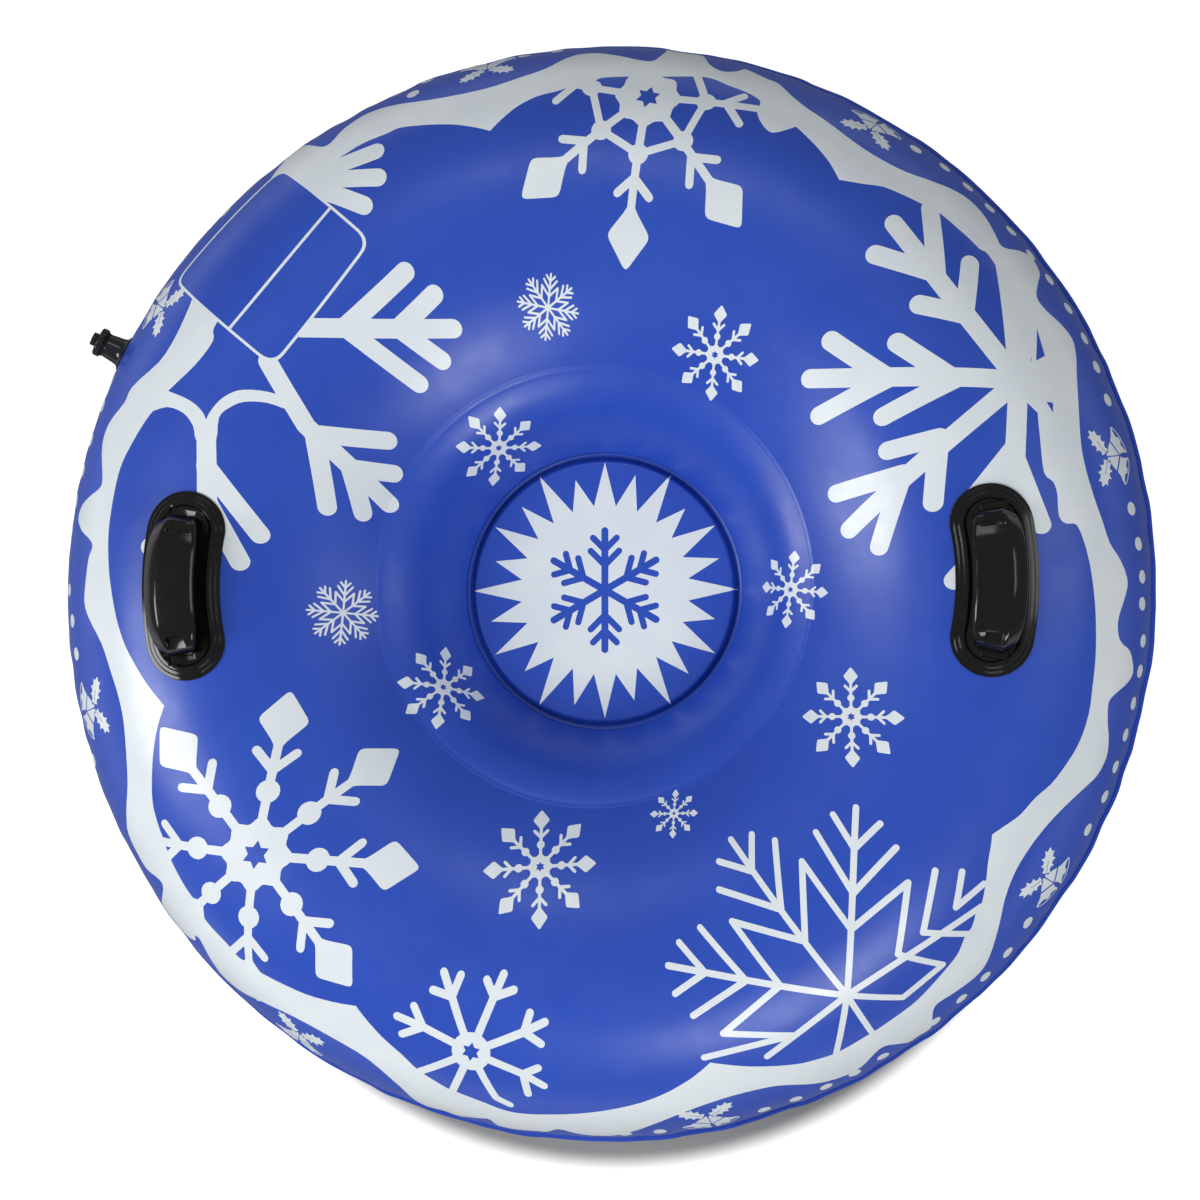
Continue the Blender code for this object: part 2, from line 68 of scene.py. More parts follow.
MERGE_DISTANCE = 0.000002
SHARP_ANGLE = math.radians(60)
EDGE_SHARE = 0.45
LEAST_LENGTH = 1e-12
TOP_THICKNESS = 0.0006
BASE_THICKNESS = 0.0009
FULL = (0.0, 1.0)
WHITE = (1.0, 1.0, 1.0, 1.0)


class Bench:
    """The modelling operators, used as by hand."""

    @staticmethod
    def focus(piece: Object) -> None:
        """Selects one object alone and makes it active."""
        bpy.ops.object.select_all(action="DESELECT")
        piece.select_set(True)
        bpy.context.view_layer.objects.active = piece

    @staticmethod
    @contextmanager
    def editing(piece: Object) -> Iterator[None]:
        """Holds one object in edit mode with all of it selected."""
        Bench.focus(piece)
        bpy.ops.object.mode_set(mode="EDIT")
        bpy.ops.mesh.select_all(action="SELECT")
        yield
        bpy.ops.object.mode_set(mode="OBJECT")

    @staticmethod
    def tidy(piece: Object) -> None:
        """Merges doubles, drops what is loose and turns all faces outwards."""
        with Bench.editing(piece):
            bpy.ops.mesh.remove_doubles(threshold=MERGE_DISTANCE)
            bpy.ops.mesh.delete_loose(use_verts=True, use_edges=True, use_faces=False)
            bpy.ops.mesh.select_all(action="SELECT")
            bpy.ops.mesh.normals_make_consistent(inside=False)

    @staticmethod
    def shade(piece: Object, degrees: float) -> None:
        """Shades an object smooth and keeps the edges that are sharper than this."""
        Bench.focus(piece)
        bpy.ops.object.shade_smooth_by_angle(angle=math.radians(degrees))

    @staticmethod
    def apply(piece: Object, modifier: bpy.types.Modifier) -> None:
        """Applies one modifier."""
        Bench.focus(piece)
        bpy.ops.object.modifier_apply(modifier=modifier.name)

    @staticmethod
    def coordinates(piece: Object) -> np.ndarray:
        """The vertices of an object as an array of rows."""
        flat = np.zeros(len(piece.data.vertices) * 3)
        piece.data.vertices.foreach_get("co", flat)
        return flat.reshape(-1, 3)

    @staticmethod
    def move_to(piece: Object, points: np.ndarray) -> None:
        """Puts the vertices of an object at new places."""
        piece.data.vertices.foreach_set("co", np.ascontiguousarray(points).ravel())
        piece.data.update()

    @staticmethod
    def polar(points: np.ndarray) -> tuple[np.ndarray, np.ndarray]:
        """The angles of points round Z, and their radii."""
        return np.arctan2(points[:, 1], points[:, 0]), np.hypot(points[:, 0], points[:, 1])

    @staticmethod
    def linked(
        name: str,
        points: Sequence[Sequence[float]],
        edges: Sequence[tuple[int, int]],
        faces: Sequence[Sequence[int]],
    ) -> Object:
        """A new object in the scene.

        Args:
            name: the object's name.
            points: its vertices.
            edges: its loose edges, as pairs of points.
            faces: its faces, as rows of points.

        Returns:
            The object, unselected.
        """
        mesh = bpy.data.meshes.new(name)
        mesh.from_pydata(points, edges, faces)
        piece = bpy.data.objects.new(name, mesh)
        bpy.context.scene.collection.objects.link(piece)
        return piece

    @staticmethod
    def tube(name: str, sides: int, rings: Sequence[np.ndarray]) -> Object:
        """A circle extruded ring by ring, each ring then put in its place.

        Args:
            name: the object's name.
            sides: how many points a ring has.
            rings: for each ring an array of its points; a ring of equal points closes an end.

        Returns:
            The closed object, its faces outwards.
        """
        bpy.ops.object.select_all(action="DESELECT")
        bpy.ops.mesh.primitive_circle_add(vertices=sides, radius=1.0, fill_type="NOTHING")
        piece = bpy.context.object
        piece.name = name
        with Bench.editing(piece):
            for _ in rings[1:]:
                bpy.ops.mesh.extrude_region_move(TRANSFORM_OT_translate={"value": (0, 0, 1)})
        old = Bench.coordinates(piece)
        ring = np.rint(old[:, 2]).astype(int)
        side = np.rint(Bench.polar(old)[0] / (math.tau / sides)).astype(int) % sides
        Bench.move_to(piece, np.asarray(rings)[ring, side])
        Bench.tidy(piece)
        return piece

    @staticmethod
    def spun(name: str, profile: Sequence[Pair], steps: int, closed: bool) -> Object:
        """A profile of (radius, height) points spun once round Z.

        Args:
            name: the object's name.
            profile: the points, from the axis or round a ring's section.
            steps: how many steps the turn has.
            closed: whether the last point joins the first.

        Returns:
            The spun object, its faces outwards.
        """
        count = len(profile)
        edges = [(i, i + 1) for i in range(count - 1)] + ([(count - 1, 0)] if closed else [])
        piece = Bench.linked(name, [(r, 0.0, z) for r, z in profile], edges, [])
        with Bench.editing(piece):
            bpy.ops.mesh.spin(steps=steps, angle=math.tau, center=(0, 0, 0), axis=(0, 0, 1))
        Bench.tidy(piece)
        return piece

    @staticmethod
    def cut_box(piece: Object, low: Vector, high: Vector) -> None:
        """Cuts a box out of an object.

        Args:
            piece: the object, a closed solid.
            low: the box's lowest corner.
            high: its highest corner.
        """
        bpy.ops.object.select_all(action="DESELECT")
        bpy.ops.mesh.primitive_cube_add(size=1.0, location=(low + high) / 2)
        cutter = bpy.context.object
        cutter.scale = high - low
        bpy.ops.object.transform_apply(location=True, rotation=False, scale=True)
        cut = piece.modifiers.new("Cut", "BOOLEAN")
        cut.operation = "DIFFERENCE"
        cut.solver = "EXACT"
        cut.object = cutter
        Bench.apply(piece, cut)
        bpy.data.objects.remove(cutter, do_unlink=True)

    @staticmethod
    def ease_edges(piece: Object, width: float) -> None:
        """Rounds the edges that a cut has left sharp."""
        ease = piece.modifiers.new("Ease", "BEVEL")
        ease.width = width
        ease.segments = 2
        ease.limit_method = "ANGLE"
        ease.angle_limit = SHARP_ANGLE
        ease.use_clamp_overlap = False
        Bench.apply(piece, ease)

    @staticmethod
    def fit(piece: Object, finish: Material, body: str, node: str, slot: str) -> None:
        """Dresses a finished piece and puts it in a node's place.

        Args:
            piece: the finished piece.
            finish: its material.
            body: the body that it rides on.
            node: the CAD node that it stands for.
            slot: not used.
        """
        dress(piece, finish)
        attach(piece, body)
        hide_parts(node)
        report(piece)


def dress(piece: Object, finish: Material) -> None:
    """Gives every slot of an object one finish."""
    if not piece.material_slots:
        piece.data.materials.append(finish)
    for slot in piece.material_slots:
        slot.material = finish


def report(piece: Object) -> None:
    """Reports a finished piece."""
    LOG.info("%s: %d faces", piece.name, len(piece.data.polygons))


def filleted(profile: Sequence[Pair], radius: float, steps: int = 3, closed: bool = False) -> list[Pair]:
    """A profile with each inner corner rounded.

    Args:
        profile: the (radius, height) points.
        radius: how far from a corner its rounding starts, less where an edge is short.
        steps: how many steps a rounding has.
        closed: whether the last point joins the first.

    Returns:
        The points of the rounded profile.
    """
    points = [Vector(p) for p in profile]
    made: list[Pair] = []
    for i, corner in enumerate(points):
        if not closed and i in (0, len(points) - 1):
            made.append(tuple(corner))
            continue
        before, after = points[i - 1] - corner, points[(i + 1) % len(points)] - corner
        reach = min(radius, before.length * EDGE_SHARE, after.length * EDGE_SHARE)
        start, end = corner + before.normalized() * reach, corner + after.normalized() * reach
        for j in range(steps + 1):
            t = j / steps
            made.append(tuple(start * (1 - t) ** 2 + corner * (2 * t * (1 - t)) + end * t**2))
    return made


def smooth_step(values: np.ndarray, low: float, high: float) -> np.ndarray:
    """Zero below low, one above high, and an even rise between them."""
    t = np.clip((values - low) / (high - low), 0.0, 1.0)
    return t * t * (3 - 2 * t)


def squared(angle: float, share: float) -> Pair:
    """Cosine and sine bent towards a rounded square: a share of 1 is a circle, less is squarer."""
    c, s = math.cos(angle), math.sin(angle)
    return math.copysign(abs(c) ** share, c), math.copysign(abs(s) ** share, s)


class Graph:
    """A material's shader nodes, wired one after another."""

    def __init__(self, name: str, colour: Colour, roughness: Pair) -> None:
        """Starts a material with a plain Principled shader."""
        self.material = bpy.data.materials.new(name)
        self.material.use_nodes = True
        self.tree = self.material.node_tree
        self.shader = self.tree.nodes["Principled BSDF"]
        self.shader.inputs["Base Color"].default_value = (*colour, 1.0)
        self.shader.inputs["Roughness"].default_value = sum(roughness) / 2
        self.place = self.tree.nodes.new("ShaderNodeTexCoord").outputs["Object"]

    def node(self, kind: str, inputs: dict[str | int, object]) -> bpy.types.Node:
        """Adds a node and sets or links its inputs.

        Args:
            kind: the node's type.
            inputs: for each socket, by name or number, a value or the socket that feeds it.

        Returns:
            The node.
        """
        node = self.tree.nodes.new(kind)
        for key, value in inputs.items():
            if isinstance(value, Socket):
                self.tree.links.new(value, node.inputs[key])
            else:
                node.inputs[key].default_value = value
        return node

    def link(self, socket: Socket, name: str) -> None:
        """Links an outcome to the shader's own socket."""
        self.tree.links.new(socket, self.shader.inputs[name])

    def maths(self, operation: str, *values: object) -> Socket:
        """The outcome of one operation on values."""
        node = self.node("ShaderNodeMath", dict(enumerate(values)))
        node.operation = operation
        return node.outputs[0]

    def noise(self, size: float, detail: float) -> Socket:
        """Soft noise whose blotches are about so many metres across."""
        inputs = {"Vector": self.place, "Scale": 1 / size, "Detail": detail}
        return self.node("ShaderNodeTexNoise", inputs).outputs["Fac"]

    def spread(self, value: Socket, target: Pair, source: Pair = (0.35, 0.65)) -> Socket:
        """A value within the source's limits, spread over the target's."""
        inputs = {"Value": value, "From Min": source[0], "From Max": source[1]}
        inputs |= {"To Min": target[0], "To Max": target[1]}
        return self.node("ShaderNodeMapRange", inputs).outputs["Result"]

    def blend(self, factor: Socket, first: Colour, second: Colour) -> None:
        """Gives the shader a colour between two.

        Args:
            factor: zero for the first colour and one for the second.
            first: the first colour.
            second: the second colour.
        """
        node = self.tree.nodes.new("ShaderNodeMix")
        node.data_type = "RGBA"
        self.tree.links.new(factor, node.inputs["Factor"])
        colours = {"A_Color": (*first, 1.0), "B_Color": (*second, 1.0)}
        for socket in node.inputs:
            if socket.identifier in colours:
                socket.default_value = colours[socket.identifier]
        self.link(next(s for s in node.outputs if s.identifier == "Result_Color"), "Base Color")

    def sum(self, first: Socket, second: Socket, share: float) -> Socket:
        """The first value plus a share of the second."""
        return self.maths("MULTIPLY_ADD", second, share, first)

    def relief(self, height: Socket, depth: float, strength: float) -> None:
        """Gives the shader a bump of so many metres, of which so much shows."""
        bump = self.node("ShaderNodeBump", {"Height": height, "Distance": depth, "Strength": strength})
        self.link(bump.outputs["Normal"], "Normal")


@dataclass(frozen=True)
class SheetVinyl:
    """Calendered sheet vinyl: even colour with faint clouds, a fine pebble and a satin gloss."""

    name: str
    colour: Colour
    cloud: Colour
    roughness: Pair
    clouds: float = 0.09
    sheen: float = 0.03
    pebble: float = 0.0011
    pebble_depth: float = 0.00003
    wave: float = 0.0154
    wave_share: float = 2.5
    relief: float = 0.6
    specular: float = 0.38

    def material(self) -> Material:
        """Builds the material."""
        graph = Graph(self.name, self.colour, self.roughness)
        graph.blend(graph.spread(graph.noise(self.clouds, 3.0), FULL), self.colour, self.cloud)
        graph.link(graph.spread(graph.noise(self.sheen, 3.0), self.roughness), "Roughness")
        height = graph.sum(graph.noise(self.pebble, 2.0), graph.noise(self.wave, 2.0), self.wave_share)
        graph.relief(height, self.pebble_depth, self.relief)
        graph.shader.inputs["Specular IOR Level"].default_value = self.specular
        return graph.material


@dataclass(frozen=True)
class ScreenInk:
    """Screen-printed ink: nearly opaque, with faint thin patches and a slightly matter face."""

    name: str
    colour: Colour
    thin: Colour
    roughness: Pair = (0.29, 0.38)
    patch: float = 0.035
    patch_levels: Pair = (0.45, 0.85)
    speck_share: float = 0.25
    mesh_size: float = 0.0009
    mesh_depth: float = 0.00002
    relief: float = 0.5

    def material(self) -> Material:
        """Builds the material."""
        graph = Graph(self.name, self.colour, self.roughness)
        speck = graph.noise(self.patch / 12, 2.0)
        mottle = graph.sum(graph.noise(self.patch, 4.0), speck, self.speck_share)
        graph.blend(graph.spread(mottle, FULL, self.patch_levels), self.colour, self.thin)
        graph.link(graph.spread(graph.noise(self.patch / 2, 3.0), self.roughness), "Roughness")
        graph.relief(graph.noise(self.mesh_size, 2.0), self.mesh_depth, self.relief)
        return graph.material


@dataclass(frozen=True)
class MouldedVinyl:
    """Soft vinyl from a polished mould: deep gloss with faint flow marks and a little dust."""

    name: str
    colour: Colour
    dust: Colour
    roughness: Pair
    dust_levels: Pair = (0.5, 0.8)
    flow: float = 0.012
    flow_depth: float = 0.00006
    grain_share: float = 0.08
    relief: float = 0.7
    specular: float = 0.34
    transmission: float = 0.0

    def material(self) -> Material:
        """Builds the material."""
        graph = Graph(self.name, self.colour, self.roughness)
        dusty = graph.spread(graph.noise(self.flow / 4, 5.0), FULL, self.dust_levels)
        graph.blend(dusty, self.colour, self.dust)
        graph.link(graph.spread(graph.noise(self.flow / 2, 4.0), self.roughness), "Roughness")
        grain = graph.noise(self.flow / 14, 2.0)
        height = graph.sum(graph.noise(self.flow, 2.0), grain, self.grain_share)
        graph.relief(height, self.flow_depth, self.relief)
        graph.shader.inputs["Specular IOR Level"].default_value = self.specular
        graph.shader.inputs["Transmission Weight"].default_value = self.transmission
        return graph.material


class Finishes:
    """Every finish of the tube, made once."""

    def __init__(self) -> None:
        """Builds the materials."""
        top = SheetVinyl("printed_pvc_face", (0.020, 0.072, 0.460), (0.018, 0.064, 0.430), (0.30, 0.38))
        base = SheetVinyl("base_pvc_face", (0.020, 0.060, 0.380), (0.017, 0.052, 0.340), (0.32, 0.40))
        inner = SheetVinyl("inner_pvc_face", (0.022, 0.064, 0.390), (0.019, 0.056, 0.350), (0.34, 0.42))
        ink = ScreenInk("white_ink", (0.71, 0.765, 0.80), (0.66, 0.72, 0.77))
        black, dust = (0.0035, 0.0035, 0.004), (0.006, 0.006, 0.007)
        handle = MouldedVinyl("handle_pvc_face", black, dust, (0.09, 0.14))
        black, dust = (0.014, 0.014, 0.020), (0.024, 0.024, 0.032)
        smoky = MouldedVinyl("smoky_pvc_face", black, dust, (0.08, 0.14), transmission=0.25)
        black, dust = (0.006, 0.006, 0.007), (0.013, 0.013, 0.014)
        plastic = MouldedVinyl("valve_plastic_face", black, dust, (0.24, 0.34), flow=0.004)
        black, dust = (0.020, 0.020, 0.021), (0.032, 0.032, 0.033)
        rubber = MouldedVinyl("seal_rubber_face", black, dust, (0.55, 0.65), flow=0.003)
        self.top = top.material()
        self.base = replace(base, pebble_depth=0.00001).material()
        self.inner = inner.material()
        self.ink = ink.material()
        self.handle = handle.material()
        self.smoky = smoky.material()
        self.plastic = plastic.material()
        self.rubber = rubber.material()


@dataclass
class Section:
    """The sheet's line in the ring's section, from the axis over the well's weld to the seam's edge.

    The sheet is an inextensible membrane under air pressure that puckers freely round the ring, so
    the sine of its slope grows with the square of the radius and is one at the seam. It is measured
    by its reach, the radius that a point has on the flat sheet.
    """

    outer_radius: float
    seam_width: float = 0.004
    well_radius: float = 0.120
    tie_radius: float = 0.1895
    samples: int = 1441
    floor_samples: int = 200
    seam_samples: int = 40
    rounds: int = 60
    corner: float = 0.0012

    def __post_init__(self) -> None:
        """Finds the crest that brings both ends to one height, and adds the seat's floor and the seam."""
        self.sheet_radius = self.outer_radius - self.seam_width
        low, high = self.well_radius, self.sheet_radius
        for _ in range(self.rounds):
            self.crest = (low + high) / 2
            self._trace()
            if self.height[-1] > 0:
                high = self.crest
            else:
                low = self.crest
        self.seam_reach = float(self.reach[-1])
        self.tie_reach = float(np.interp(self.tie_radius, self.radius, self.reach))
        self.rim_reach = self.seam_reach + self.seam_width
        self.membrane = (self.slope, self.reach)
        floor = np.linspace(0.0, self.well_radius, self.floor_samples, endpoint=False)
        seam = np.linspace(self.corner, self.seam_width, self.seam_samples)
        self.slope = np.concatenate([floor * 0, self.slope, seam * 0])
        self.reach = np.concatenate([floor, self.reach, self.seam_reach + seam])
        self.radius = np.concatenate([floor, self.radius, self.sheet_radius + seam])
        self.height = np.concatenate([floor * 0, self.height, seam * 0])
        self._ease(self.well_radius)

    def _trace(self) -> None:
        """Integrates height and reach along the sheet for the present crest radius."""
        growth = self.sheet_radius**2 - self.crest**2
        foot = math.asin(max((self.well_radius**2 - self.crest**2) / growth, -1.0))
        self.slope = np.linspace(foot, math.pi / 2, self.samples)
        self.radius = np.sqrt(self.crest**2 + np.sin(self.slope) * growth)
        rate = growth / (2 * self.radius)
        self.reach = self.well_radius + self._summed(rate)
        self.height = self._summed(-np.sin(self.slope) * rate)

    def _summed(self, rate: np.ndarray) -> np.ndarray:
        """Running sum of a rate over the slope, by trapezoids."""
        parts = (rate[1:] + rate[:-1]) / 2 * np.diff(self.slope)
        return np.concatenate([[0.0], np.cumsum(parts)])

    def reach_at(self, slope: float) -> float:
        """The reach at which the membrane has this slope."""
        return float(np.interp(slope, *self.membrane))

    def _ease(self, place: float) -> None:
        """Eases the slope over a corner of the line, so that a thickness turns it evenly."""
        near = np.abs(self.reach - place) < self.corner
        first, last = self.slope[near][0], self.slope[near][-1]
        share = smooth_step(self.reach[near], place - self.corner, place + self.corner)
        self.slope[near] = first + (last - first) * share


class Side(Enum):
    """The two sheets."""

    TOP = 1
    BASE = -1


@dataclass
class Relief:
    """Small forms of the inflated sheet: puckers at the seam, welds and slack.

    Puckers and ripples are sums of waves round the ring, each of (count, share, phase).
    """

    PUCKERS = ((19, 0.42, 0.4), (31, 0.44, 1.9), (47, 0.44, 4.1), (71, 0.34, 0.9), (97, 0.16, 2.2))
    RIPPLES = ((83, 0.5, 2.2), (109, 0.42, 0.3), (67, 0.45, 5.0))

    section: Section
    valve_turn: float
    valve_reach: float
    handle_radius: float
    valve_calm: Pair = (0.019, 0.042)
    plate_calm: Pair = (0.055, 0.11)
    plate_edge_shares: Pair = (0.85, 1.35)
    pucker_depth: float = 0.0026
    pucker_reach: float = 0.034
    pucker_sharpness: float = 1.3
    ripple: float = 0.0006
    ripple_reach: float = 0.085
    slack: float = 0.0004
    slack_edge: float = 0.06
    tie_ridge: float = 0.0005
    tie_width: float = 0.0012
    inner_swell: float = 0.0056
    groove_depth: float = 0.0072
    groove_width: float = 0.0034
    groove_shift: float = 0.7
    groove_sharpness: float = 1.6

    def _waves(self, turn: np.ndarray, waves: Sequence[tuple[int, float, float]]) -> np.ndarray:
        """A sum of waves round the ring."""
        return sum(share * np.sin(count * turn + phase) for count, share, phase in waves)

    def _calm(self, turn: np.ndarray, reach: np.ndarray) -> np.ndarray:
        """One on the free sheet, and zero beside the valve."""
        around = (turn - self.valve_turn + math.pi) % math.tau - math.pi
        away = np.hypot(around * self.section.sheet_radius, reach - self.valve_reach)
        return smooth_step(away, *self.valve_calm)

    def _level(self, turn: np.ndarray, reach: np.ndarray) -> np.ndarray:
        """One on the free sheet, and zero under the handles' plates."""
        across, along = self.plate_calm
        half = np.abs((turn + math.pi / 2) % math.pi - math.pi / 2) * self.handle_radius
        out = np.interp(reach, self.section.reach, self.section.radius) - self.handle_radius
        return smooth_step(np.hypot(half / along, out / across), *self.plate_edge_shares)

    def pull(self, turn: np.ndarray, reach: np.ndarray) -> np.ndarray:
        """How far the seam's puckers draw points in towards the axis.

        Args:
            turn: angles round the tube.
            reach: radii on the flat sheet.

        Returns:
            One length for each point.
        """
        swell = 0.66 + 0.34 * np.sin(5 * turn + 0.8) * np.sin(3 * turn - 1.1)
        wave = np.tanh(self.pucker_sharpness * self._waves(turn, self.PUCKERS))
        inward = np.exp(-((np.maximum(self.section.seam_reach - reach, 0.0) / self.pucker_reach) ** 2))
        return self.pucker_depth * (0.5 + 0.5 * wave) * swell * inward * self._calm(turn, reach)

    def rise(self, turn: np.ndarray, reach: np.ndarray) -> np.ndarray:
        """How far points of the upper sheet stand over the smooth line.

        Args:
            turn: angles round the tube.
            reach: radii on the flat sheet.

        Returns:
            One height for each point.
        """
        inward = (self.section.seam_reach - reach) / self.ripple_reach
        fade = smooth_step(1 - inward, 0.0, 0.9) * smooth_step(inward, 0.0, 0.12)
        gust = 0.55 + 0.45 * np.sin(7 * turn + 2.0 + 1.5 * np.sin(2 * turn))
        made = self.ripple * self._waves(turn, self.RIPPLES) * gust * fade * self._calm(turn, reach)
        broad = np.sin(3 * turn + 17 * reach) + 0.8 * np.sin(5 * turn - 23 * reach + 1.0)
        ring = smooth_step(reach, self.section.tie_reach, self.section.tie_reach + self.slack_edge)
        made += self.slack * broad * ring * self._level(turn, reach)
        return made + self.tie(reach) - self.groove(reach)

    def tie(self, reach: np.ndarray) -> np.ndarray:
        """The weld line of the tie wall, and the swell of the sheet between it and the seat."""
        well, tie = self.section.well_radius, self.section.tie_reach
        across = np.clip((reach - well) / (tie - well), 0.0, 1.0)
        swell = 27 / 4 * across**2 * (1 - across)
        return self.inner_swell * swell + self.tie_ridge * np.exp(-(((reach - tie) / self.tie_width) ** 2))

    def groove(self, reach: np.ndarray) -> np.ndarray:
        """How far the weld round the seat's floor is pressed down through both sheets."""
        away = (reach - self.section.well_radius) / self.groove_width + self.groove_shift
        return self.groove_depth * np.exp(-self.groove_sharpness * away**2)


@dataclass
class Skin:
    """One inflated sheet: it turns places on the flat sheet into places in the room."""

    side: Side
    section: Section
    relief: Relief
    middle: float
    thickness: float
    meeting: float = 0.00015

    def points(self, turn: np.ndarray, reach: np.ndarray, height: np.ndarray) -> np.ndarray:
        """Places over the sheet's outer face.

        Args:
            turn: angles round the tube.
            reach: radii on the flat sheet.
            height: how far each place stands out from the face.

        Returns:
            An array of rows with x, y and z.
        """
        line = self.section
        slope = np.interp(reach, line.reach, line.slope)
        out = self.thickness + height
        if self.side is Side.TOP:
            out = out + self.relief.rise(turn, reach)
        else:
            out = out + self.relief.tie(reach) + self.relief.groove(reach)
        radius = np.interp(reach, line.reach, line.radius) + out * np.sin(slope)
        radius = radius - self.relief.pull(turn, reach)
        rise = self.meeting + np.interp(reach, line.reach, line.height) + out * np.cos(slope)
        z = self.middle + self.side.value * rise
        if self.side is Side.BASE:
            z = np.maximum(z, -height)
        return np.stack([radius * np.cos(turn), radius * np.sin(turn), z], axis=1)

    def normals(self, turn: np.ndarray, reach: np.ndarray, step: float = 0.0004) -> np.ndarray:
        """The outward normals of the sheet's outer face.

        Args:
            turn: angles round the tube.
            reach: radii on the flat sheet.
            step: how far apart, in radians and in metres, the face is felt.

        Returns:
            An array of unit rows.
        """
        zero = np.zeros_like(reach)
        around = self.points(turn + step, reach, zero) - self.points(turn - step, reach, zero)
        inward = np.maximum(reach - step, 0.0)
        along = self.points(turn, reach + step, zero) - self.points(turn, inward, zero)
        made = np.cross(along, around) * self.side.value
        length = np.linalg.norm(made, axis=1, keepdims=True)
        up = np.array([0.0, 0.0, float(self.side.value)])
        return np.where(length > 0, made / np.maximum(length, LEAST_LENGTH), up)

    def inflate(self, piece: Object) -> None:
        """Moves an object from the flat sheet, z over its face, onto the inflated one."""
        flat = Bench.coordinates(piece)
        Bench.move_to(piece, self.points(*Bench.polar(flat), flat[:, 2]))


@dataclass
class Skins:
    """The two welded sheets, each a thin closed solid with a fine outer face."""

    section: Section
    top: Skin
    base: Skin
    steps: int = 640
    inner_steps: int = 128
    row_share: int = 3
    crease: float = 50.0
    floor_rows: float = 0.020
    seam_rows: float = 0.0034
    seam_band: float = 0.085
    open_rows: float = 0.0076
    weld_rows: float = 0.0007
    weld_band: float = 0.0056

    def rows(self) -> np.ndarray:
        """The reaches of the fine face's rows, from the axis to the seam's edge."""
        line = self.section
        well, tie, seam = line.well_radius, line.tie_reach, line.seam_reach
        marks = [
            (0.0, self.floor_rows),
            (well - 2 * self.weld_band, self.weld_rows),
            (well + self.weld_band, self.open_rows),
            (tie - self.weld_band, self.weld_rows),
            (tie + self.weld_band, self.open_rows),
            (seam - self.seam_band, self.seam_rows),
            (seam - self.weld_band, self.weld_rows),
            (line.rim_reach, self.weld_rows),
        ]
        made: list[float] = []
        for (start, spacing), (end, _) in zip(marks, marks[1:]):
            count = max(1, round((end - start) / spacing))
            made += [start + (end - start) * i / count for i in range(count)]
        return np.array(made + [line.rim_reach])

    def _sheet(self, name: str, skin: Skin, share: int) -> Object:
        """One flat sheet with a fine face and a plainer back, inflated.

        Args:
            name: the object's name.
            skin: the sheet's place in the room.
            share: one for the finest face, two for every second row and step.

        Returns:
            The closed sheet.
        """
        fine = self.rows()[::share]
        if fine[-1] < self.section.rim_reach:
            fine = np.append(fine, self.section.rim_reach)
        face = Bench.spun(name, [(r, 0.0) for r in fine], self.steps // share, closed=False)
        coarse = np.append(self.rows()[::self.row_share], self.section.rim_reach)
        back = Bench.spun("back", [(r, -skin.thickness) for r in coarse], self.inner_steps, closed=False)
        Bench.focus(face)
        back.select_set(True)
        bpy.ops.object.join()
        self._close_rim(face)
        skin.inflate(face)
        Bench.tidy(face)
        Bench.shade(face, self.crease)
        return face

    def _close_rim(self, piece: Object) -> None:
        """Bridges the edge of the fine face with the edge of the back."""
        with Bench.editing(piece):
            bpy.ops.mesh.select_mode(type="EDGE")
            bpy.ops.mesh.select_all(action="DESELECT")
            bpy.ops.mesh.select_non_manifold(
                extend=False, use_wire=False, use_boundary=True, use_multi_face=False,
                use_non_contiguous=False, use_verts=False,
            )
            bpy.ops.mesh.bridge_edge_loops()
            bpy.ops.mesh.select_mode(type="VERT")

    def build(self, finishes: Finishes) -> None:
        """Makes and dresses both sheets, and dresses what lies inside them."""
        top = self._sheet("top_skin", self.top, 1)
        base = self._sheet("base_skin", self.base, 2)
        Bench.fit(top, finishes.top, "tube", "top_sheet", "printed_pvc")
        Bench.fit(base, finishes.base, "tube", "base_sheet", "base_pvc")
        for node in ("tie_wall", "right_handle_patch", "left_handle_patch"):
            dress(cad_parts[node], finishes.inner)


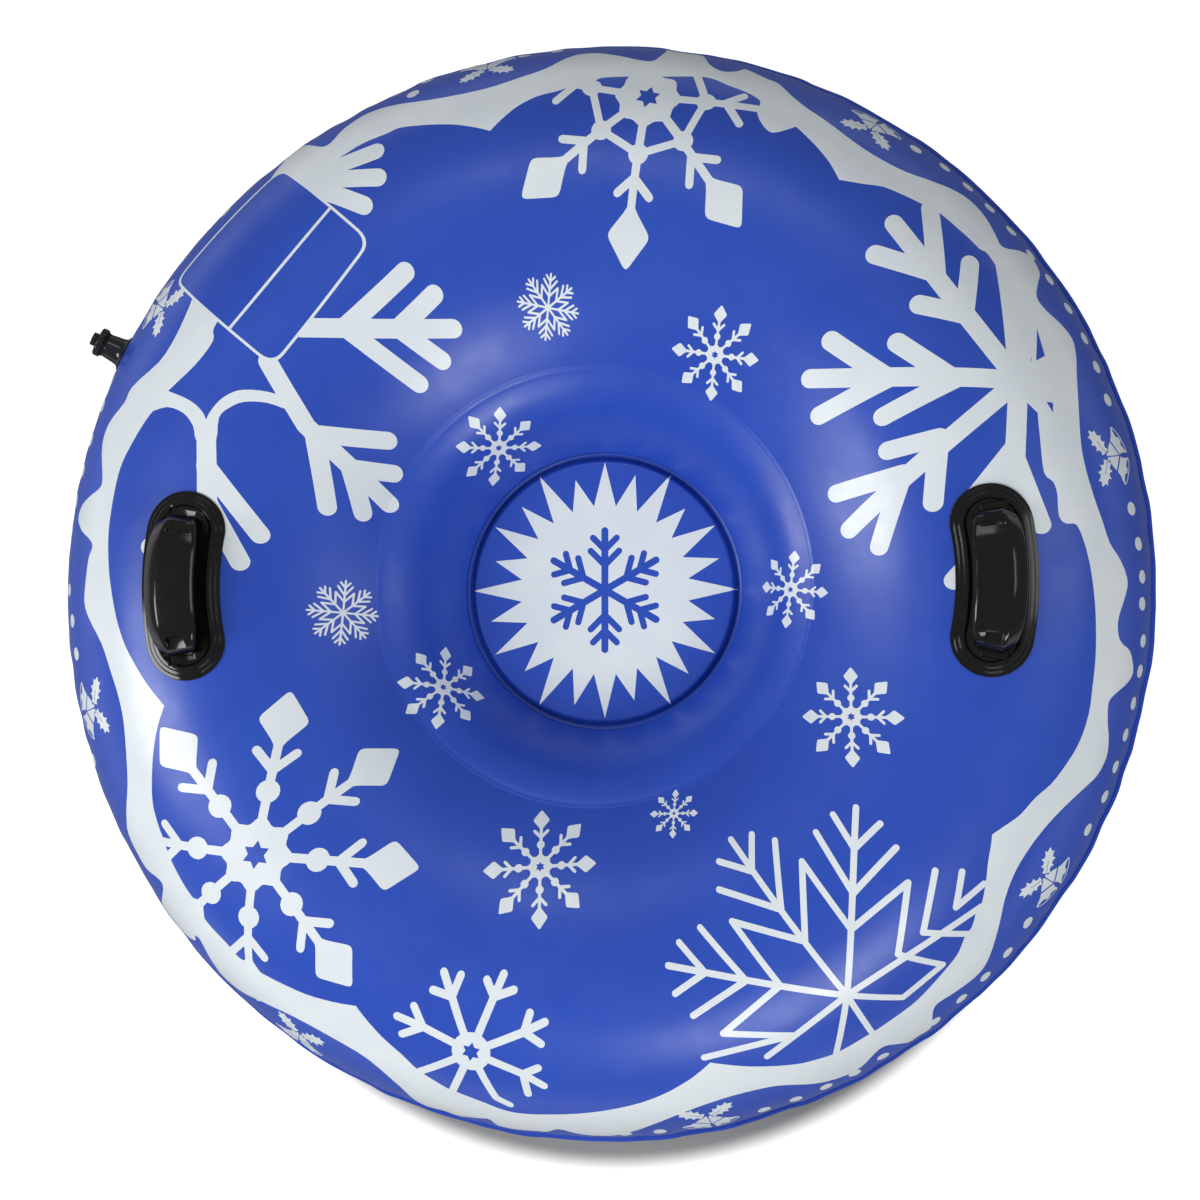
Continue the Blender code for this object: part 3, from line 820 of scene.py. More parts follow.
@dataclass
class PhotoView:
    """The photograph's camera, in pixels of its 1200 by 1200 frame."""

    middle: float
    frame_size: int = 1200
    centre: Pixel = (604.0, 591.0)
    focal: float = 4575.0
    distance: float = 4.0
    lean_right: float = math.radians(7.5)
    lean_down: float = math.radians(-2.9)
    sensor: float = 36.0
    cast_start: float = 0.001
    cast_steps: int = 1500
    cast_fall: float = 10.0

    def __post_init__(self) -> None:
        """Works out the camera's axes and eye."""
        x, y = math.sin(self.lean_right), math.sin(self.lean_down)
        self.back = Vector((x, y, math.sqrt(1 - x * x - y * y)))
        self.right = Vector((0, 1, 0)).cross(self.back).normalized()
        self.up = self.back.cross(self.right)
        self.aim = Vector((0, 0, self.middle))
        self.eye = self.aim + self.back * self.distance

    def add_camera(self) -> None:
        """Creates the camera, moved sideways so that the aim falls on its own pixel."""
        half = self.frame_size / 2
        per_pixel = self.distance / self.focal
        aside = self.right * ((half - self.centre[0]) * per_pixel)
        aside -= self.up * ((half - self.centre[1]) * per_pixel)
        data = bpy.data.cameras.new("camera")
        data.sensor_width = self.sensor
        data.lens = self.focal * self.sensor / self.frame_size
        camera = bpy.data.objects.new("camera", data)
        turn = Matrix((self.right, self.up, self.back)).transposed().to_4x4()
        camera.matrix_world = Matrix.Translation(self.eye + aside) @ turn
        bpy.context.scene.collection.objects.link(camera)
        bpy.context.scene.camera = camera

    def flat(self, skin: Skin, pixels: Sequence[Pixel]) -> np.ndarray:
        """Casts pixels onto a skin.

        Args:
            skin: the inflated sheet.
            pixels: the pixels, those past its outline going to its nearest edge.

        Returns:
            Their places on the flat sheet, as complex numbers.
        """
        line = skin.section
        out_r = line.radius + skin.thickness * np.sin(line.slope)
        out_z = skin.middle + skin.meeting + line.height + skin.thickness * np.cos(line.slope)
        grid = np.asarray(pixels, float)
        ray = (
            -np.array(self.back)
            + np.outer((grid[:, 0] - self.centre[0]) / self.focal, self.right)
            + np.outer((self.centre[1] - grid[:, 1]) / self.focal, self.up)
        )
        levels = np.linspace(out_z.max() + self.cast_start, skin.middle, self.cast_steps)
        reach = (levels[None, :] - self.eye.z) / ray[:, 2:3]
        x = self.eye.x + ray[:, 0:1] * reach
        y = self.eye.y + ray[:, 1:2] * reach
        r = np.hypot(x, y)
        surface = np.interp(r, np.maximum.accumulate(out_r), out_z)
        surface = np.where(r > out_r[-1], skin.middle - self.cast_fall * (r - out_r[-1]), surface)
        over = levels[None, :] - surface
        inside = over < 0
        pick = np.where(inside.any(axis=1), inside.argmax(axis=1), over.argmin(axis=1))
        rows = np.arange(len(grid))
        px, py, pz = x[rows, pick], y[rows, pick], levels[pick]
        pr = np.hypot(px, py)
        near = ((pr[:, None] - out_r) ** 2 + (pz[:, None] - out_z) ** 2).argmin(axis=1)
        return line.reach[near] * np.exp(1j * np.arctan2(py, px))


def turned(angle: float) -> complex:
    """The unit place at an angle."""
    return cmath.exp(1j * angle)


def toward(start: complex, end: complex) -> complex:
    """The unit step from one place towards another."""
    return (end - start) / abs(end - start)


def rounded_stroke(start: complex, end: complex, width: float, steps: int = 10) -> Shape:
    """A stroke of one width with round ends."""
    along = toward(start, end) * width / 2
    turns = [turned(math.pi * (i / steps - 0.5)) for i in range(steps + 1)]
    return [end + along * t for t in turns] + [start - along * t for t in turns]


def square_stroke(start: complex, end: complex, width: float) -> Shape:
    """A stroke of one width with square ends."""
    aside = toward(start, end) * width / 2 * 1j
    return [start - aside, end - aside, end + aside, start + aside]


def disc(centre: complex, radius: float, steps: int = 20) -> Shape:
    """A round dot."""
    return [centre + radius * turned(math.tau * i / steps) for i in range(steps)]


def star(centre: complex, outer: complex) -> Shape:
    """A six-pointed star whose first point lies at centre + outer."""
    shares = (1.0, 0.58) * 6
    return [centre + outer * share * turned(math.tau * i / 12) for i, share in enumerate(shares)]


def curve_through(points: Sequence[complex], closed: bool, steps: int = 3) -> Shape:
    """A smooth line through given points.

    Args:
        points: the points.
        closed: whether the last point joins the first.
        steps: how many steps lie between two points.

    Returns:
        The line's points.
    """
    count = len(points)
    made: Shape = []
    for i in range(count if closed else count - 1):
        near = range(i - 1, i + 3)
        if closed:
            a, b, c, d = (points[k % count] for k in near)
        else:
            a, b, c, d = (points[min(max(k, 0), count - 1)] for k in near)
        bend, twist = 2 * a - 5 * b + 4 * c - d, 3 * b - a - 3 * c + d
        for j in range(steps):
            t = j / steps
            made.append((2 * b + (c - a) * t + bend * t**2 + twist * t**3) / 2)
    if not closed:
        made.append(points[-1])
    return made


def contains(shape: Shape, points: np.ndarray) -> np.ndarray:
    """Tells which points lie inside a shape, by counting the edges that they look across.

    Args:
        shape: a closed outline.
        points: an array of places.

    Returns:
        An array of truth values.
    """
    inside = np.zeros(len(points), bool)
    corners = np.asarray(shape)
    for start, end in zip(corners, np.roll(corners, -1)):
        if start.imag == end.imag:
            continue
        between = (start.imag > points.imag) != (end.imag > points.imag)
        share = (points.imag - start.imag) / (end.imag - start.imag)
        inside ^= between & (points.real < start.real + share * (end.real - start.real))
    return inside


@dataclass
class Print:
    """One print of ink on the flat sheet: shapes that it fills and shapes that stay open."""

    name: str
    height: float = 0.00020
    depth: float = 0.00040
    open_step: float = 0.0040
    seam_step: float = 0.0026
    seam_band: float = 0.085
    weld_step: float = 0.0008
    weld_band: float = 0.0045
    support_margin: float = 0.01
    support_hub: float = 0.015
    filled: list[Shape] = field(default_factory=list)
    opened: list[Shape] = field(default_factory=list)

    def fill(self, *shapes: Shape) -> None:
        """Adds shapes of ink."""
        self.filled += shapes

    def open(self, *shapes: Shape) -> None:
        """Adds shapes without ink."""
        self.opened += shapes

    def _divided(self, start: complex, end: complex, line: Section) -> Shape:
        """Divides an edge, more finely where the sheet bends more.

        Args:
            start: the edge's start.
            end: the edge's end.
            line: the sheet's section.

        Returns:
            The edge's points but its last.
        """
        middle, length = (start + end) / 2, abs(end - start)
        weld = min(abs(abs(middle) - line.well_radius), abs(abs(middle) - line.tie_reach))
        step = self.open_step
        if line.seam_reach - abs(middle) < self.seam_band:
            step = self.seam_step
        if weld < self.weld_band + length / 2:
            step = self.weld_step
        if length <= step:
            return [start]
        return self._divided(start, middle, line) + self._divided(middle, end, line)

    def _support(self, rows: np.ndarray, steps: int) -> np.ndarray:
        """The skin's own points that lie in the ink, so that the ink bends where the skin does.

        Args:
            rows: the reaches of the sheet's rows.
            steps: how many steps the sheet has round the tube.

        Returns:
            An array of places on the flat sheet.
        """
        radii = np.abs(np.concatenate([np.asarray(s) for s in self.filled]))
        low, high = radii.min() - self.support_margin, radii.max() + self.support_margin
        if any(contains(s, np.array([0j]))[0] for s in self.filled):
            low = 0.0
        ring = rows[(rows >= low) & (rows <= high) & (rows > self.support_hub)]
        turn = np.arange(steps) * math.tau / steps
        grid = (ring[:, None] * np.exp(1j * turn)[None, :]).ravel()
        kept = np.zeros(len(grid), bool)
        for shape in self.filled:
            flat = np.asarray(shape)
            near = (grid.real > flat.real.min()) & (grid.real < flat.real.max())
            near &= (grid.imag > flat.imag.min()) & (grid.imag < flat.imag.max())
            near &= ~kept
            kept[near] = contains(shape, grid[near])
        return grid[kept]

    def build(self, skin: Skin, rows: np.ndarray, steps: int, finish: Material) -> None:
        """Cuts the ink out, gives it its thickness and lays it on the skin.

        Args:
            skin: the sheet that carries it.
            rows: the reaches of the sheet's rows.
            steps: how many steps the sheet has round the tube.
            finish: the ink's material.
        """
        points: Shape = []
        faces: list[list[int]] = []
        for shape in self.filled + self.opened:
            if sum((a.conjugate() * b).imag for a, b in zip(shape, shape[1:] + shape[:1])) < 0:
                shape = shape[::-1]
            first = len(points)
            for start, end in zip(shape, shape[1:] + shape[:1]):
                points += self._divided(start, end, skin.section)
            faces.append(list(range(first, len(points))))
        points += list(self._support(rows, steps))
        corners = [Vector((p.real, p.imag)) for p in points]
        made = delaunay_2d_cdt(corners, [], faces, 1, MERGE_DISTANCE, True)
        ink = len(self.filled)
        kept = [
            face
            for face, source in zip(made[2], made[5])
            if any(s < ink for s in source) and not any(s >= ink for s in source)
        ]
        piece = Bench.linked(self.name, [(p.x, p.y, 0.0) for p in made[0]], [], kept)
        with Bench.editing(piece):
            bpy.ops.mesh.delete_loose(use_verts=True, use_edges=True, use_faces=False)
        wall = piece.modifiers.new("Wall", "SOLIDIFY")
        wall.thickness = self.depth
        wall.offset = -1.0
        Bench.apply(piece, wall)
        self._lay(piece, skin)
        dress(piece, finish)
        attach(piece, "tube")
        report(piece)

    def _lay(self, piece: Object, skin: Skin) -> None:
        """Lays the flat ink on the inflated skin, with the skin's own normals on its face."""
        flat = Bench.coordinates(piece)
        turn, reach = Bench.polar(flat)
        upper = flat[:, 2] > -self.depth / 2
        height = np.where(upper, self.height, self.height - self.depth)
        Bench.move_to(piece, skin.points(turn, reach, height))
        mesh = piece.data
        mesh.shade_smooth()
        face_normals = skin.normals(turn, reach)
        loops = np.zeros(len(mesh.loops), int)
        mesh.loops.foreach_get("vertex_index", loops)
        starts = np.zeros(len(mesh.polygons), int)
        sizes = np.zeros(len(mesh.polygons), int)
        plain = np.zeros(len(mesh.polygons) * 3)
        mesh.polygons.foreach_get("loop_start", starts)
        mesh.polygons.foreach_get("loop_total", sizes)
        mesh.polygons.foreach_get("normal", plain)
        plain = plain.reshape(-1, 3)
        owner = np.repeat(np.arange(len(starts)), sizes)
        ups = np.zeros(len(starts))
        np.add.at(ups, owner, upper[loops].astype(float))
        face = (ups == sizes)[owner]
        under = (ups == 0)[owner]
        normals = np.where(face[:, None], face_normals[loops], plain[owner])
        normals = np.where(under[:, None], -face_normals[loops], normals)
        mesh.normals_split_custom_set(normals.tolist())


@dataclass
class Placed:
    """A motif's own frame on the flat sheet: its centre, and the end of its first arm."""

    centre: complex
    tip: complex

    def __post_init__(self) -> None:
        """Works out the first arm."""
        self.arm = self.tip - self.centre

    def at(self, share: complex) -> complex:
        """The place of a share of the first arm, turned by its own angle."""
        return self.centre + self.arm * share

    def shape(self, shares: Iterable[complex]) -> Shape:
        """The places of many shares."""
        return [self.at(s) for s in shares]

    def mirrored(self, side: Sequence[complex]) -> Shape:
        """A shape from the shares of its one side, mirrored over the first arm."""
        return self.shape([*side, *[share.conjugate() for share in reversed(side)]])

    def arms(self, count: int) -> list["Placed"]:
        """The same frame turned to each arm of a flake."""
        turns = [turned(math.tau * i / count) for i in range(count)]
        return [Placed(self.centre, self.centre + self.arm * turn) for turn in turns]

    def stroke(self, start: complex, end: complex, width: float, steps: int = 4) -> Shape:
        """A round stroke between two shares of the first arm."""
        return rounded_stroke(self.at(start), self.at(end), width, steps)

    def twigs(self, pairs: Iterable[tuple[float, complex]], width: float, steps: int = 4) -> list[Shape]:
        """Round strokes from shares of the first arm, each to both of its sides."""
        ends = [(root, side) for root, end in pairs for side in (end, end.conjugate())]
        return [self.stroke(root, end, width, steps) for root, end in ends]


def rounded_outline(corners: Sequence[complex], rounding: float, steps: int = 3) -> Shape:
    """A closed outline through corners, each of them rounded alike.

    Args:
        corners: the corners.
        rounding: how far from a corner its rounding starts.
        steps: how many steps a rounding has.

    Returns:
        The outline's points.
    """
    made: Shape = []
    for i, corner in enumerate(corners):
        start = corner + toward(corner, corners[i - 1]) * rounding
        end = corner + toward(corner, corners[(i + 1) % len(corners)]) * rounding
        for j in range(steps + 1):
            t = j / steps
            made.append(start * (1 - t) ** 2 + corner * (2 * t * (1 - t)) + end * t**2)
    return made


def diamond(place: Placed, inner: float, outer: float, half_width: float, rounding: float) -> Shape:
    """A diamond along the first arm with slightly rounded corners, drawn in a little at its root.

    Args:
        place: the motif's frame.
        inner: the share of the arm at which the diamond starts.
        outer: the share at which it ends.
        half_width: half its width, as a share of the arm.
        rounding: how far from a corner its rounding starts, as a share of the arm.

    Returns:
        The diamond's outline.
    """
    length = outer - inner
    waist = complex(inner + 0.18 * length, half_width * 0.24)
    side = complex(inner + 0.52 * length, half_width)
    corners = [complex(inner), waist.conjugate(), side.conjugate(), complex(outer), side, waist]
    return place.shape(rounded_outline(corners, rounding))


def lobed_rim(lobes: int, radius: float, depth: float, steps: int = 64) -> Shape:
    """A round outline with shallow lobes, the first of them on the first arm."""
    turns = [math.tau * i / steps for i in range(steps)]
    return [radius * (1 + depth * math.cos(lobes * turn)) * turned(turn) for turn in turns]


@dataclass(frozen=True)
class BeadFlake:
    """A flake whose arms carry a bead, a chevron and a diamond, round a pierced hub.

    Its sizes are shares of an arm.
    """

    arms: int = 8
    line: float = 0.054
    stem: Pair = (0.10, 0.66)
    bead: Pair = (0.375, 0.070)
    chevron: tuple[float, complex] = (0.50, 0.615 + 0.116j)
    diamond: tuple[float, float, float, float] = (0.600, 1.0, 0.150, 0.036)
    rim: Pair = (0.205, 0.10)
    star: float = 0.085

    def add(self, ink: Print, place: Placed) -> None:
        """Adds the flake to a print."""
        size = abs(place.arm)
        for arm in place.arms(self.arms):
            ink.fill(square_stroke(arm.at(self.stem[0]), arm.at(self.stem[1]), self.line * size))
            ink.fill(disc(arm.at(self.bead[0]), self.bead[1] * size, 16))
            ink.fill(*arm.twigs([self.chevron], self.line * size))
            ink.fill(diamond(arm, *self.diamond))
        ink.fill(place.shape(lobed_rim(self.arms, *self.rim)))
        ink.open(star(place.centre, place.arm * self.star))


@dataclass(frozen=True)
class FineFlake:
    """A fine flake: feathered arms joined by a star. Its twigs and star are shares of an arm."""

    arms: int = 8
    line: float = 0.0020
    twigs: tuple[tuple[float, complex], ...] = ((0.54, 0.82 + 0.21j), (0.78, 0.94 + 0.14j))
    star: Pair = (0.34, 0.68)

    def add(self, ink: Print, place: Placed) -> None:
        """Adds the flake to a print."""
        notch, point = self.star
        point *= turned(math.pi / self.arms)
        for arm in place.arms(self.arms):
            ink.fill(arm.stroke(0, 1.0, self.line), *arm.twigs(self.twigs, self.line))
            ink.fill(arm.stroke(notch, point, self.line))
            ink.fill(arm.stroke(notch * turned(math.tau / self.arms), point, self.line))


@dataclass(frozen=True)
class Sprig:
    """A sprig of holly: two leaves towards the seat, two berries and two bells towards the seam."""

    LEAF = (
        0.05 + 0.05j, 0.08 + 0.20j, 0.20 + 0.14j, 0.30 + 0.17j, 0.36 + 0.31j, 0.44 + 0.20j, 0.54 + 0.20j,
        0.66 + 0.33j, 0.70 + 0.20j, 0.80 + 0.17j, 0.97 + 0.22j, 0.94 + 0.10j, 1.10 + 0.02j,
    )
    VEIN = (0.06, 0.58)
    CROWN = (0.02 - 0.06j, 0.12 - 0.17j, 0.26 - 0.235j, 0.43 - 0.28j)
    SKIRT = (0.50 - 0.30j, 0.66 - 0.35j, 0.80 - 0.45j, 0.92 - 0.53j)

    leaf_length: float = 0.0262
    leaf_lean: float = math.radians(121)
    bell_length: float = 0.0300
    bell_lean: float = math.radians(35)
    berry: float = 0.0017
    gap: float = 0.0011
    spread_out: float = 0.0560

    def add(self, ink: Print, centre: complex) -> None:
        """Adds the sprig to a print, its bells away from the middle of the sheet."""
        outward = centre / abs(centre)
        crown = centre + outward * self.berry
        for side in (-1, 1):
            leaf = outward * turned(side * self.leaf_lean)
            root = centre + leaf * self.berry * 2
            self._leaf(ink, Placed(root, root + leaf * self.leaf_length))
            self._bell(ink, Placed(crown, crown + outward * turned(side * self.bell_lean) * self.bell_length))
            ink.fill(disc(centre + 1j * outward * side * self.berry * 1.35, self.berry, 14))
        ink.open(square_stroke(crown, crown + outward * self.bell_length / 2, self.gap))

    def _leaf(self, ink: Print, leaf: Placed) -> None:
        """One spiky leaf along the frame's arm, with an open vein."""
        ink.fill(leaf.mirrored(self.LEAF))
        ink.open(square_stroke(leaf.at(self.VEIN[0]), leaf.at(self.VEIN[1]), self.gap * 0.7))

    def _bell(self, ink: Print, bell: Placed) -> None:
        """One bell that opens along the frame's arm: crown, skirt and mouth with its clapper."""
        ink.fill(bell.mirrored(self.CROWN), bell.mirrored(self.SKIRT))
        mouth = disc(0, 1.0, 36)
        ink.fill(bell.shape(complex(0.93 + 0.145 * p.real, 0.54 * p.imag) for p in mouth))
        hollow = []
        for p in mouth:
            clapper = p.real < 0 and abs(p.imag) < 0.24
            hollow.append(complex(0.97 if clapper else 0.945 + 0.095 * p.real, 0.475 * p.imag))
        ink.open(bell.shape(hollow))


class WinterPrint:
    """The winter print: a wavy band, snowflakes, holly with bells, dots, a blank panel and a burst."""

    PANEL_TOP = ((282, 169), (372, 241), (273, 368), (176, 282))
    PANEL_DIVIDER = ((331, 208), (229, 329))
    PANEL_ROUNDING = 0.016
    PANEL_STROKE = 0.0034
    BAND_OUTER = (
        (282, 154), (297, 144), (319, 147), (331, 143), (345, 128), (365, 115), (387, 107), (431, 100),
        (482, 90), (520, 78), (546, 69), (564, 60), (579, 55), (597, 54), (615, 56), (635, 60),
        (650, 62), (658, 59), (666, 53), (673, 51), (699, 55), (709, 65), (722, 72), (737, 72),
        (745, 70), (755, 74), (768, 80), (778, 84), (791, 96), (806, 108), (827, 122), (855, 143),
        (880, 159), (906, 172), (934, 182), (952, 189), (970, 200), (985, 216), (995, 233),
        (1003, 247), (1021, 251), (1033, 258), (1040, 272), (1038, 284), (1037, 297), (1046, 310),
        (1061, 324), (1072, 338), (1076, 353), (1077, 379), (1079, 417), (1081, 446), (1086, 471),
        (1094, 499), (1102, 522), (1109, 543), (1117, 556), (1123, 568), (1127, 584), (1123, 601),
        (1118, 617), (1117, 630), (1120, 642), (1129, 651), (1132, 663), (1132, 674), (1127, 683),
        (1117, 692), (1109, 700), (1107, 709), (1107, 724), (1108, 739), (1106, 757), (1097, 775),
        (1084, 788), (1066, 805), (1048, 824), (1030, 847), (1015, 872), (1005, 898), (1000, 921),
        (993, 946), (984, 967), (969, 982), (949, 996), (936, 1005), (932, 1015), (930, 1028),
        (923, 1038), (913, 1043), (898, 1044), (885, 1046), (875, 1053), (862, 1066), (844, 1076),
        (819, 1083), (791, 1085), (770, 1087), (732, 1096), (693, 1109), (655, 1124), (630, 1133),
        (604, 1138), (579, 1135), (558, 1130), (544, 1133), (520, 1137), (503, 1133), (497, 1126),
        (489, 1120), (476, 1119), (456, 1118), (446, 1114), (431, 1110), (415, 1101), (400, 1087),
        (369, 1060), (333, 1038), (295, 1017), (264, 1002), (239, 989), (224, 976), (211, 958),
        (203, 943), (196, 935), (183, 933), (168, 915), (164, 906), (164, 890), (160, 879),
        (147, 868), (137, 851), (129, 833), (127, 813), (128, 788), (127, 762), (124, 724),
        (119, 698), (111, 673), (101, 643), (88, 617), (84, 602), (85, 584), (88, 559), (92, 546),
        (88, 538), (81, 530), (78, 518), (82, 505), (91, 495), (100, 487), (102, 474), (102, 444),
        (109, 423), (124, 403), (132, 387), (159, 362), (176, 336), (189, 308), (203, 278), (235, 262),
    )
    BAND_INNER = (
        ((232, 300), (214, 328), (213, 341), (195, 365), (168, 391), (156, 407), (145, 421),
         (134, 439), (122, 462), (116, 482), (111, 508), (108, 533), (108, 559), (110, 584),
         (116, 617), (124, 643), (134, 663), (147, 684), (164, 706)),
        ((164, 706), (158, 725), (154, 746), (152, 775), (153, 803), (159, 826), (164, 839),
         (171, 859), (183, 882), (193, 897), (201, 905), (206, 920), (227, 943), (239, 957),
         (248, 962), (257, 970), (277, 981), (305, 994), (333, 1002), (356, 1006)),
        ((356, 1006), (364, 1017), (382, 1037), (402, 1055), (419, 1071), (448, 1089), (456, 1092),
         (484, 1103), (502, 1110), (520, 1114), (553, 1115), (591, 1113), (630, 1106), (660, 1096),
         (686, 1082), (701, 1071), (710, 1063)),
        ((710, 1063), (750, 1067), (793, 1065), (816, 1060), (839, 1052), (870, 1034), (877, 1030),
         (907, 1009), (923, 995), (944, 972), (958, 954), (965, 937), (972, 927), (977, 910),
         (982, 903), (986, 882), (988, 862), (991, 844), (992, 835)),
        ((992, 835), (1005, 826), (1020, 815), (1035, 798), (1051, 784), (1066, 764), (1079, 742),
         (1088, 714), (1092, 686), (1095, 655), (1095, 617), (1093, 589), (1089, 563), (1083, 540),
         (1076, 525), (1066, 524), (1060, 519), (1058, 510), (1057, 494), (1053, 482), (1044, 473),
         (1040, 440), (1036, 400), (1030, 350), (1020, 320), (1010, 290), (989, 255), (980, 249),
         (970, 239), (941, 214), (924, 205), (903, 195), (883, 187), (862, 184), (839, 180)),
        ((839, 180), (829, 162), (814, 144), (796, 127)),
        ((796, 127), (773, 133), (762, 124), (757, 112), (760, 101), (745, 92), (729, 86), (712, 79),
         (696, 77), (666, 77), (622, 77), (602, 78), (592, 82), (576, 85), (558, 91), (538, 96),
         (518, 106), (502, 119), (490, 131)),
        ((490, 131), (477, 128), (456, 125), (431, 125), (400, 128), (387, 134), (357, 147),
         (310, 180)),
    )
    BAND_HOLES = (
        ((1037, 328), (1045, 356), (1036, 361)),
        ((1046, 402), (1053, 403), (1053, 413)),
    )
    THICK = 0.0178
    UPPER_LEFT = (
        ((300, 328), (453, 329)), ((345, 328), (405, 272)), ((345, 328), (419, 384)),
        ((400, 328), (434, 295)), ((400, 330), (442, 361)),
        ((268, 362), (306, 426)), ((306, 426), (389, 504)), ((314, 434), (388, 441)),
        ((314, 434), (327, 507)), ((350, 468), (394, 474)), ((350, 468), (363, 513)),
        ((206, 432), (206, 600)), ((206, 466), (260, 535)), ((206, 500), (240, 562)),
        ((206, 500), (150, 547)),
        ((295, 185), (376, 152)), ((295, 185), (378, 178)), ((300, 185), (364, 206)),
    )
    LEFT_ARCH = (
        (160, 385), (168, 391), (185, 398), (198, 407), (206, 420), (206, 440), (196, 440), (193, 426),
        (183, 413), (167, 407), (150, 410),
    )
    RIGHT_ARCH = (
        (206, 420), (216, 404), (229, 394), (244, 390), (268, 392), (290, 400), (290, 410), (267, 403),
        (244, 402), (229, 408), (219, 418), (216, 440), (204, 440),
    )
    RIGHT_FLAKE = (
        ((1018, 381), (810, 379)), ((954, 380), (897, 343)), ((954, 380), (883, 417)),
        ((888, 379), (831, 341)), ((888, 379), (819, 416)),
        ((1018, 381), (894, 224)), ((964, 315), (919, 305)), ((964, 315), (970, 264)),
        ((936, 274), (875, 255)), ((936, 274), (930, 210)),
        ((1018, 381), (1003, 262)), ((1021, 381), (1021, 300)), ((1013, 462), (1000, 515)),
        ((1018, 381), (849, 530)), ((939, 438), (888, 451)), ((939, 438), (933, 503)),
        ((903, 474), (836, 494)), ((903, 474), (879, 547)),
        ((1018, 381), (1010, 600)), ((1012, 451), (961, 515)), ((1012, 451), (1041, 525)),
        ((1010, 520), (954, 581)),
        ((1018, 381), (1066, 350)), ((1018, 381), (1066, 430)), ((1018, 381), (1060, 390)),
    )
    BIG_BEAD_FLAKE = ((255.6, 855), (291, 690))
    SMALL_BEAD_FLAKES = (
        ((497, 445), (499, 404)), ((715, 355), (722, 305)), ((795, 590), (798, 550)),
        ((440, 690), (443, 648)), ((851, 717), (850, 667)), ((540, 867), (542, 810)),
        ((674, 814), (676, 790)),
    )
    FINE_FLAKES = (((548, 308), (551, 274)), ((343, 613), (346, 581)))
    TOP_CENTRE = (648, 97)
    TOP_ARMS = (
        ((584, 141), (562, 139), (582, 170), (544, 178)),
        ((634, 178), (617, 193), (649, 198), (628, 238)),
        ((691, 157), (717, 160), (689, 185), (724, 203)),
    )
    TOP_BEADS = ((592, 88), (601, 130), (638, 154), (683, 141), (706, 102))
    TOP_TWIGS = (
        ((706, 102), (757, 109)), ((724, 104), (744, 97)), ((727, 105), (739, 124)),
        ((706, 102), (696, 74)), ((592, 88), (569, 84)), ((576, 85), (556, 101)), ((592, 88), (588, 74)),
    )
    TOP_HUB = 0.0300
    TOP_LOBE = 0.07
    TOP_STAR = 0.0122
    TOP_LINE = 0.0078
    TOP_BEAD = 0.0095
    TOP_DIAMOND = 0.0295
    TOP_DIAMOND_SHARES = (-1.15, 1.0, 0.74, 0.20)
    STAR_TURN = 0.3
    MEDIUM_HUB = 0.0190
    MEDIUM_STAR = 0.0095
    MEDIUM_LINE = 0.0076
    MEDIUM_CENTRE = (471, 1052)
    MEDIUM_ARMS = (
        ((452, 997), ((444, 972), (461, 975), (433, 990))),
        ((494, 997), ((487, 980), (504, 974), (514, 990))),
        ((524, 1032), ((530, 1013), (545, 1022), (541, 1044))),
        ((523, 1074), ((538, 1068), (544, 1086), (528, 1094))),
        ((423, 1027), ((414, 1006), (397, 1016), (402, 1034))),
        ((418, 1072), ()), ((446, 1104), ()), ((496, 1098), ((510, 1105),)),
    )
    CRYSTAL_CENTRE = (847, 996)
    CRYSTAL_LINE = 0.0060
    CRYSTAL_LINES = (
        ((847, 996), (856, 808)), ((854, 849), (833, 815)), ((854, 849), (880, 824)),
        ((853, 894), (816, 833)), ((853, 894), (896, 848)),
        ((847, 996), (731, 840)), ((752, 872), (752, 835)), ((752, 872), (719, 862)),
        ((781, 910), (775, 841)), ((781, 910), (719, 890)),
        ((847, 996), (668, 966)), ((705, 973), (679, 943)), ((705, 973), (675, 994)),
        ((746, 981), (700, 928)), ((746, 981), (693, 1016)),
        ((847, 996), (981, 907)), ((923, 933), (935, 871)), ((956, 908), (962, 872)),
        ((956, 908), (984, 884)), ((923, 933), (975, 934)),
        ((847, 996), (903, 998)), ((847, 996), (872, 1033)), ((847, 996), (836, 1053)),
        ((847, 996), (767, 1057)), ((793, 1036), (704, 1058)),
        ((851, 930), (802, 862)), ((802, 862), (805, 942)), ((805, 942), (732, 922)),
        ((732, 922), (780, 986)), ((780, 986), (723, 1034)), ((723, 1034), (793, 1036)),
        ((851, 930), (908, 883)), ((908, 883), (898, 955)), ((898, 955), (943, 965)),
        ((943, 965), (903, 998)),
    )
    DOTS = (
        (916, 149), (945, 167), (970, 186), (994, 207), (1019, 231), (1039, 255), (1054, 279),
        (1072, 308), (1086, 338), (1097, 367), (1108, 400), (1131, 509), (1138, 544), (1142, 577),
        (1142, 604), (1143, 641), (1142, 672), (1135, 704), (1128, 736), (1118, 768), (1105, 797),
        (1088, 830), (1028, 923), (1008, 953), (989, 979), (967, 1002), (942, 1026), (918, 1045),
        (891, 1063), (862, 1079), (833, 1092), (802, 1103), (767, 1113), (664, 1136), (631, 1142),
        (529, 53), (562, 48), (431, 78), (413, 94), (397, 87), (222, 208), (202, 233), (183, 259),
        (110, 379), (97, 404), (86, 439), (78, 470), (73, 500), (71, 530), (69, 590), (72, 621),
        (76, 654), (94, 760),
    )
    DOT_RADIUS = 0.0068
    DOT_SLOPE = math.radians(73)
    BAND_SLOPE = math.radians(77)
    HOLLY = (
        (487, 69), (871, 129), (1108, 457), (1045, 878), (711, 1123), (299, 1037), (94, 708), (163, 308),
    )
    BURST_CENTRE = (605, 590)
    BURST_POINTS = (0.1165, 0.104, 0.112, 0.100) * 6
